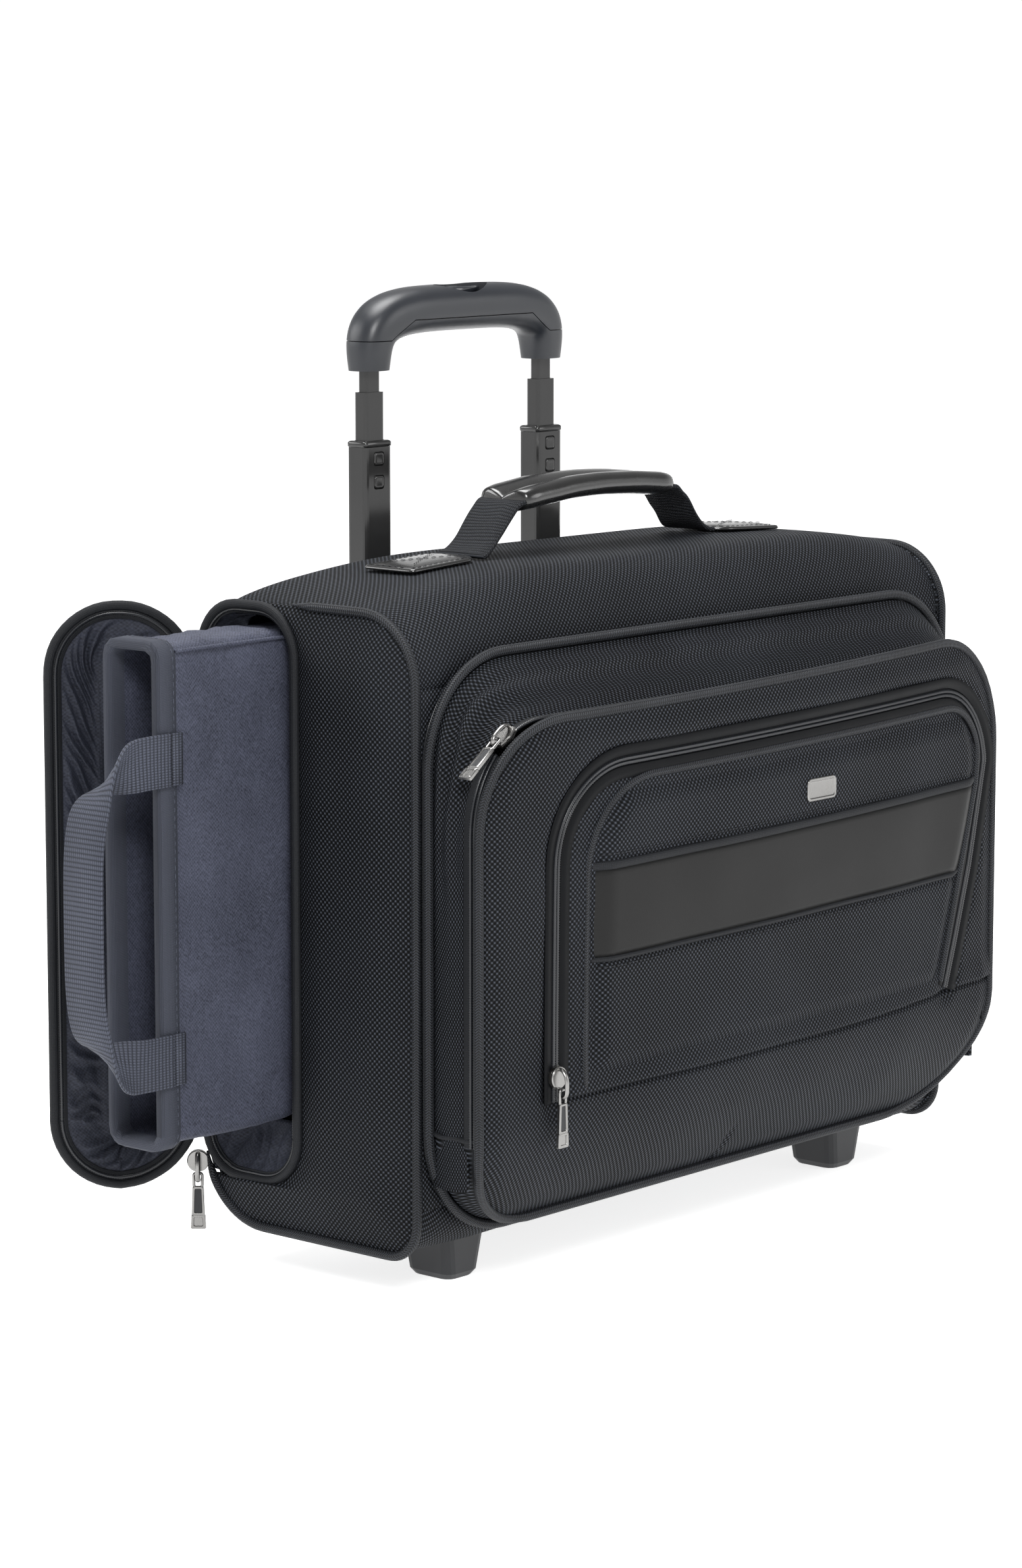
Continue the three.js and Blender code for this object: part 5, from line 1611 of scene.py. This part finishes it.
def tube_cap(side, name):
    """The plug in an outer tube's mouth: a lip round the middle tube, and two lock tabs in front."""
    x, top, half_width, half_depth = side * TUBE_X, box_mm(f"outer_tube_{name}")[1].z, 10.3, 7.0

    def collar(inset):
        wide, deep = half_width - inset, half_depth - inset
        return rounded(-wide, wide, -deep, deep, 2.4, 5)

    def above(a, b, depth):
        return Vector((x + a, TUBE_Y + b, top + depth))

    lip = [(0.3, 0.1), (0, 0.5), (0, 2.2), (0.3, 2.8), (1.0, 3.2), (2.4, 3.2), (2.7, 2.6)]
    cap = dish(collar, lip, above, True)
    dome = [(0, -1.2), (0, 0.2), (0.3, 0.5), (0.8, 0.6), (1.6, 0.5)]
    for height in (391, 379):

        def ahead(a, b, depth, height=height):
            return Vector((x + a, TUBE_Y - 6.5 - depth, height + b))

        cap.add(dish(plate_outline(3.5, 3.25, 1.6, 5), dome, ahead, True))
    nodes = [f"outer_tube_plug_{name}"]
    piece(f"tube_cap_{name}", cap, TUBE_PAINT, "outer_stage", nodes, sharp=50)


def trolley():
    for side, name in ((-1, "left"), (1, "right")):
        for node in ("guide_tube", "outer_tube", "middle_tube", "inner_tube"):
            bevelled(repaint(f"{node}_{name}", TUBE_PAINT), 0.25)
        tube_cap(side, name)
    lower = piece("grip_lower", grip_body(), GRIP, "grip_stage", ["grip_lower_shell"])
    cut(lower, below_parting(0), "INTERSECT")
    upper = piece("grip_upper", grip_body(), GRIP, "grip_stage", ["grip_upper_shell"])
    cut(upper, below_parting(0.45), "DIFFERENCE")
    recess = [[Vector((a, TUBE_Y - 2.5 + b, z)) for a, b in lens(21, 9)] for z in (469.2, 490)]
    cut(upper, lofted(recess), "DIFFERENCE")
    for obj in (lower, upper):
        bevelled(obj, 0.35, 2, 40)
        obj.data.shade_smooth()
        obj.data.set_sharp_from_angle(angle=math.radians(40))

    def ring(inset):
        return lens(18 - inset * 2.2, 5.6 - inset)

    def place(a, b, depth):
        return Vector((a, TUBE_Y + b, 472.2 + depth))

    button = dish(ring, [(0, 0), (0, 3.2), (0.25, 3.9), (0.7, 4.2), (2.2, 4.1), (3.8, 3.9)], place, True)
    piece("grip_button", button, DARK_GLOSS, "release_button", ["release_button"])


trolley()


# ---- Chassis ----
TREAD_FROM = 23.4


def lathe(profile, centre, sides=72, tread=0.0):
    """Turns (radius, x) points about an axis along X. tread is the depth of the tyre's cross grooves."""
    rows = []
    for k in range(sides):
        angle = 2 * math.pi * k / sides
        row = []
        for radius, x in profile:
            r = radius - (tread if radius > TREAD_FROM and k % 6 == 0 else 0)
            row.append(Vector((centre.x + x, centre.y + r * math.cos(angle), centre.z + r * math.sin(angle))))
        rows.append(row)
    return Shape().grid(rows, wrap=True, ring=True)


def both_faces(half):
    """A profile from one half, with the other half its mirror image."""
    return half + [(a, -b) for a, b in reversed(half)]


def chassis():
    for node in ("base_beam", "foot_left", "foot_right"):
        bevelled(repaint(node, CHASSIS), 0.8, 3)
    tyre = both_faces([(16.5, -8), (21, -8.3), (23, -6.6), (24, -4), (24, -1.2), (23.3, -0.7)])
    web = [(10, -6.4), (14.5, -6.4)]
    hub = both_faces([(4.3, -9.6), (8, -9.8), (9, -9.2)] + web + [(15.5, -8.2), (16.6, -8.4)])
    for wheel in ("wheel_left", "wheel_right"):
        low, high = box_mm(wheel)
        centre, name = (low + high) / 2, wheel.removeprefix("wheel_")
        piece(f"tyre_{name}", lathe(tyre, centre, 96, 0.7), RUBBER, wheel, [wheel])
        piece(f"hub_{name}", lathe(hub, centre, 64), CHASSIS, wheel, sharp=35)


def local_frame(hinge, hang, face):
    """A zip pull's own axes: it hangs along -Z from its hinge, and its face looks along -Y."""
    up = -Vector(hang).normalized()
    back = -Vector(face)
    back = (back - up * back.dot(up)).normalized()
    across = back.cross(up)
    axes = Matrix((across, back, up)).transposed().to_4x4()
    return Matrix.Translation(Vector(hinge)) @ axes


DISC = arc(0, 6.6, 5.6, 0, 352, 44)
HEXAGON = [(-2.4, -1), (2.4, -1), (4.2, 6), (2.2, 12.2), (-2.2, 12.2), (-4.2, 6)]


def shrunk(outline, inset):
    """An outline drawn in towards its middle by about `inset`."""
    points = [Vector(p) for p in outline]
    middle = sum(points, Vector((0, 0))) / len(points)
    return [p - (p - middle).normalized() * inset for p in points]


def zip_slider(outline):
    """Two joined plates that the coil runs between, with an arched bridge for the pull."""
    steps = [(0.5, -4.6), (0, -4.2), (0, -3.5), (0.6, -3.4), (0.6, -2.9), (0, -2.8), (0, -2.0), (0.5, -1.5)]
    shape = dish(lambda inset: shrunk(resample_to(outline, 44), inset), steps, front, True)
    side_view = [(2.2, 10.8), (-0.6, 9.9), (-2.6, 6.6), (-2.9, 2), (-2.4, -1.6), (-0.4, -3), (2.2, -3)]
    bridge = spline([(0, y, z) for y, z in side_view], 5)
    return shape.add(tube(bridge, 1.25, 10, up=ACROSS, flat=0.7))


def bar_outline(low, high, low_half, high_half, inset):
    """A bar that tapers from one half width to the other, with small round corners, as (x, z)."""
    middle, half = (low + high) / 2, (low_half + high_half) / 2 - inset
    lean = (low_half - high_half) / (high - low)
    outline = rounded(-half, half, low + inset, high - inset, 0.7, 4)
    return [(x * (1 + lean * (middle - z) / half), z) for x, z in outline]


def recessed_bar(low, high, low_half, high_half, border):
    """A flat metal bar with the same shallow recess in each face."""
    thick, edge, floor = 1.0, 0.3, 0.45
    profile = [(border + 0.25, -floor), (border, -thick), (edge, -thick), (0, edge - thick)]
    rows = []
    for inset, y in both_faces(profile):
        outline = bar_outline(low, high, low_half, high_half, inset)
        rows.append([Vector((x, y, z)) for x, z in outline])
    return lofted(rows)


def zip_pull():
    """A rectangular eye, a channelled neck and a broader foot; and a dark piece that fills the channel."""
    neck = (-20.6, -5.8, 3.3, 2.8)
    eye = [Vector((x, 0, z)) for x, z in rounded(-2.1, 2.1, -6.4, 0.8, 1.2, 5)]
    metal_parts = tube(eye, 0.8, 10, True, -AHEAD)
    metal_parts.add(recessed_bar(*neck, 1.1))
    metal_parts.add(recessed_bar(-27.6, -20.2, 3.8, 3.5, 1.3))
    return metal_parts, prism(bar_outline(*neck, 1.3), -0.55, 0.55)


def zip_pulls():
    reach = LID_RADIUS + 5.5
    angle, turn = math.radians(SLIDER_ANGLE), math.radians(SLIDER_ANGLE - 3)
    x = LID_RADIUS - MOUTH_HALF + reach * math.cos(angle)
    z = MOUTH_HIGH - LID_RADIUS + reach * math.sin(angle)
    on_corner = (x, MOUTH_Y - 4.6, z)
    tangent = (-math.sin(turn), 0, math.cos(turn))
    outward = (math.cos(turn), 0, math.sin(turn))
    on_face = on_pocket(SMALL_LEFT - 21, 104, 6.5)
    pulls = (
        ("front_pocket_zip", HEXAGON, on_corner, tangent, outward, "front_pocket_zip_slider"),
        ("small_pocket_zip", DISC, on_face, -UP, AHEAD, "small_pocket_zip_slider"),
        ("laptop_zip", DISC, (-215, 144, 43), -UP, (-0.75, -0.66, 0), "shell"),
        ("main_zip", DISC, (217, -2, 92), -UP, ACROSS, "main_zip_slider"),
    )
    for name, outline, hinge, hang, face, body in pulls:
        axes = local_frame(hinge, hang, face)
        slider = zip_slider(outline).moved(axes)
        piece(f"{name}_slider_body", slider, NICKEL, body, [f"{name}_slider"], sharp=40)
        pull, channel_fill = zip_pull()
        pull_body = f"{name}_pull"
        piece(f"{name}_tab", pull.moved(axes), NICKEL, pull_body, [pull_body], sharp=40)
        # A dark plastic piece fills the pull's channel, so that the channel reads dark.
        piece(f"{name}_inlay", channel_fill.moved(axes), CHASSIS, pull_body, sharp=40)


chassis()
zip_pulls()


# ---- Studio ----
def studio():
    """A pale floor under soft light: bright near the horizon, dimmer overhead, with four large lamps."""
    floor_mesh = bpy.data.meshes.new("floor")
    reach = 40.0
    corners = [(-reach, -reach, 0), (reach, -reach, 0), (reach, reach, 0), (-reach, reach, 0)]
    floor_mesh.from_pydata(corners, [], [(0, 1, 2, 3)])
    floor = bpy.data.objects.new("floor", floor_mesh)
    bpy.context.scene.collection.objects.link(floor)
    n = Nodes("pale_floor")
    n.shader.inputs["Emission Color"].default_value = (1, 1, 1, 1)
    n.shader.inputs["Emission Strength"].default_value = 0.8
    floor_mesh.materials.append(n.set(color=grey(0.6), rough=0.8))
    world = bpy.data.worlds.new("studio")
    bpy.context.scene.world = world
    world.use_nodes = True
    tree = world.node_tree
    up = tree.nodes.new("ShaderNodeSeparateXYZ")
    tree.links.new(tree.nodes.new("ShaderNodeTexCoord").outputs["Generated"], up.inputs[0])
    fade = tree.nodes.new("ShaderNodeMapRange")
    tree.links.new(up.outputs[2], fade.inputs[0])
    for socket, value in zip(fade.inputs[1:5], (0.06, 0.4, 1.03, 0.3)):
        socket.default_value = value
    tree.links.new(fade.outputs[0], tree.nodes["Background"].inputs[1])
    tree.nodes["Background"].inputs[0].default_value = (1, 1, 1, 1)
    target = ORIGIN + Vector((-40, 40, 200)) * MM
    for name, place, size, power in (
        ("key", (-1.9, -2.0, 2.2), 1.1, 75),
        ("front", (1.6, -2.4, 1.2), 1.4, 16),
        ("top", (0.2, 0.5, 2.6), 1.8, 75),
        ("back", (-1.6, 2.4, 1.6), 1.4, 30),
    ):
        data = bpy.data.lights.new(name, "AREA")
        data.energy = power
        data.shape = "DISK"
        data.size = size
        light = bpy.data.objects.new(name, data)
        light.location = place
        light.rotation_euler = (light.location - target).to_track_quat("Z", "Y").to_euler()
        bpy.context.scene.collection.objects.link(light)


def camera():
    """From the left, in front of the case and a little above it, through a long lens."""
    bpy.context.scene.view_settings.view_transform = "Standard"
    data = bpy.data.cameras.new("camera")
    data.sensor_fit = "VERTICAL"
    data.sensor_height = 36
    data.lens = 107.8
    eye = bpy.data.objects.new("camera", data)
    eye.location = ORIGIN + Vector((-1834.3, -1479.6, 597.9)) * MM
    eye.rotation_euler = Vector((-0.7438, -0.6503, 0.1543)).to_track_quat("Z", "Y").to_euler()
    bpy.context.scene.collection.objects.link(eye)
    bpy.context.scene.camera = eye


studio()
camera()
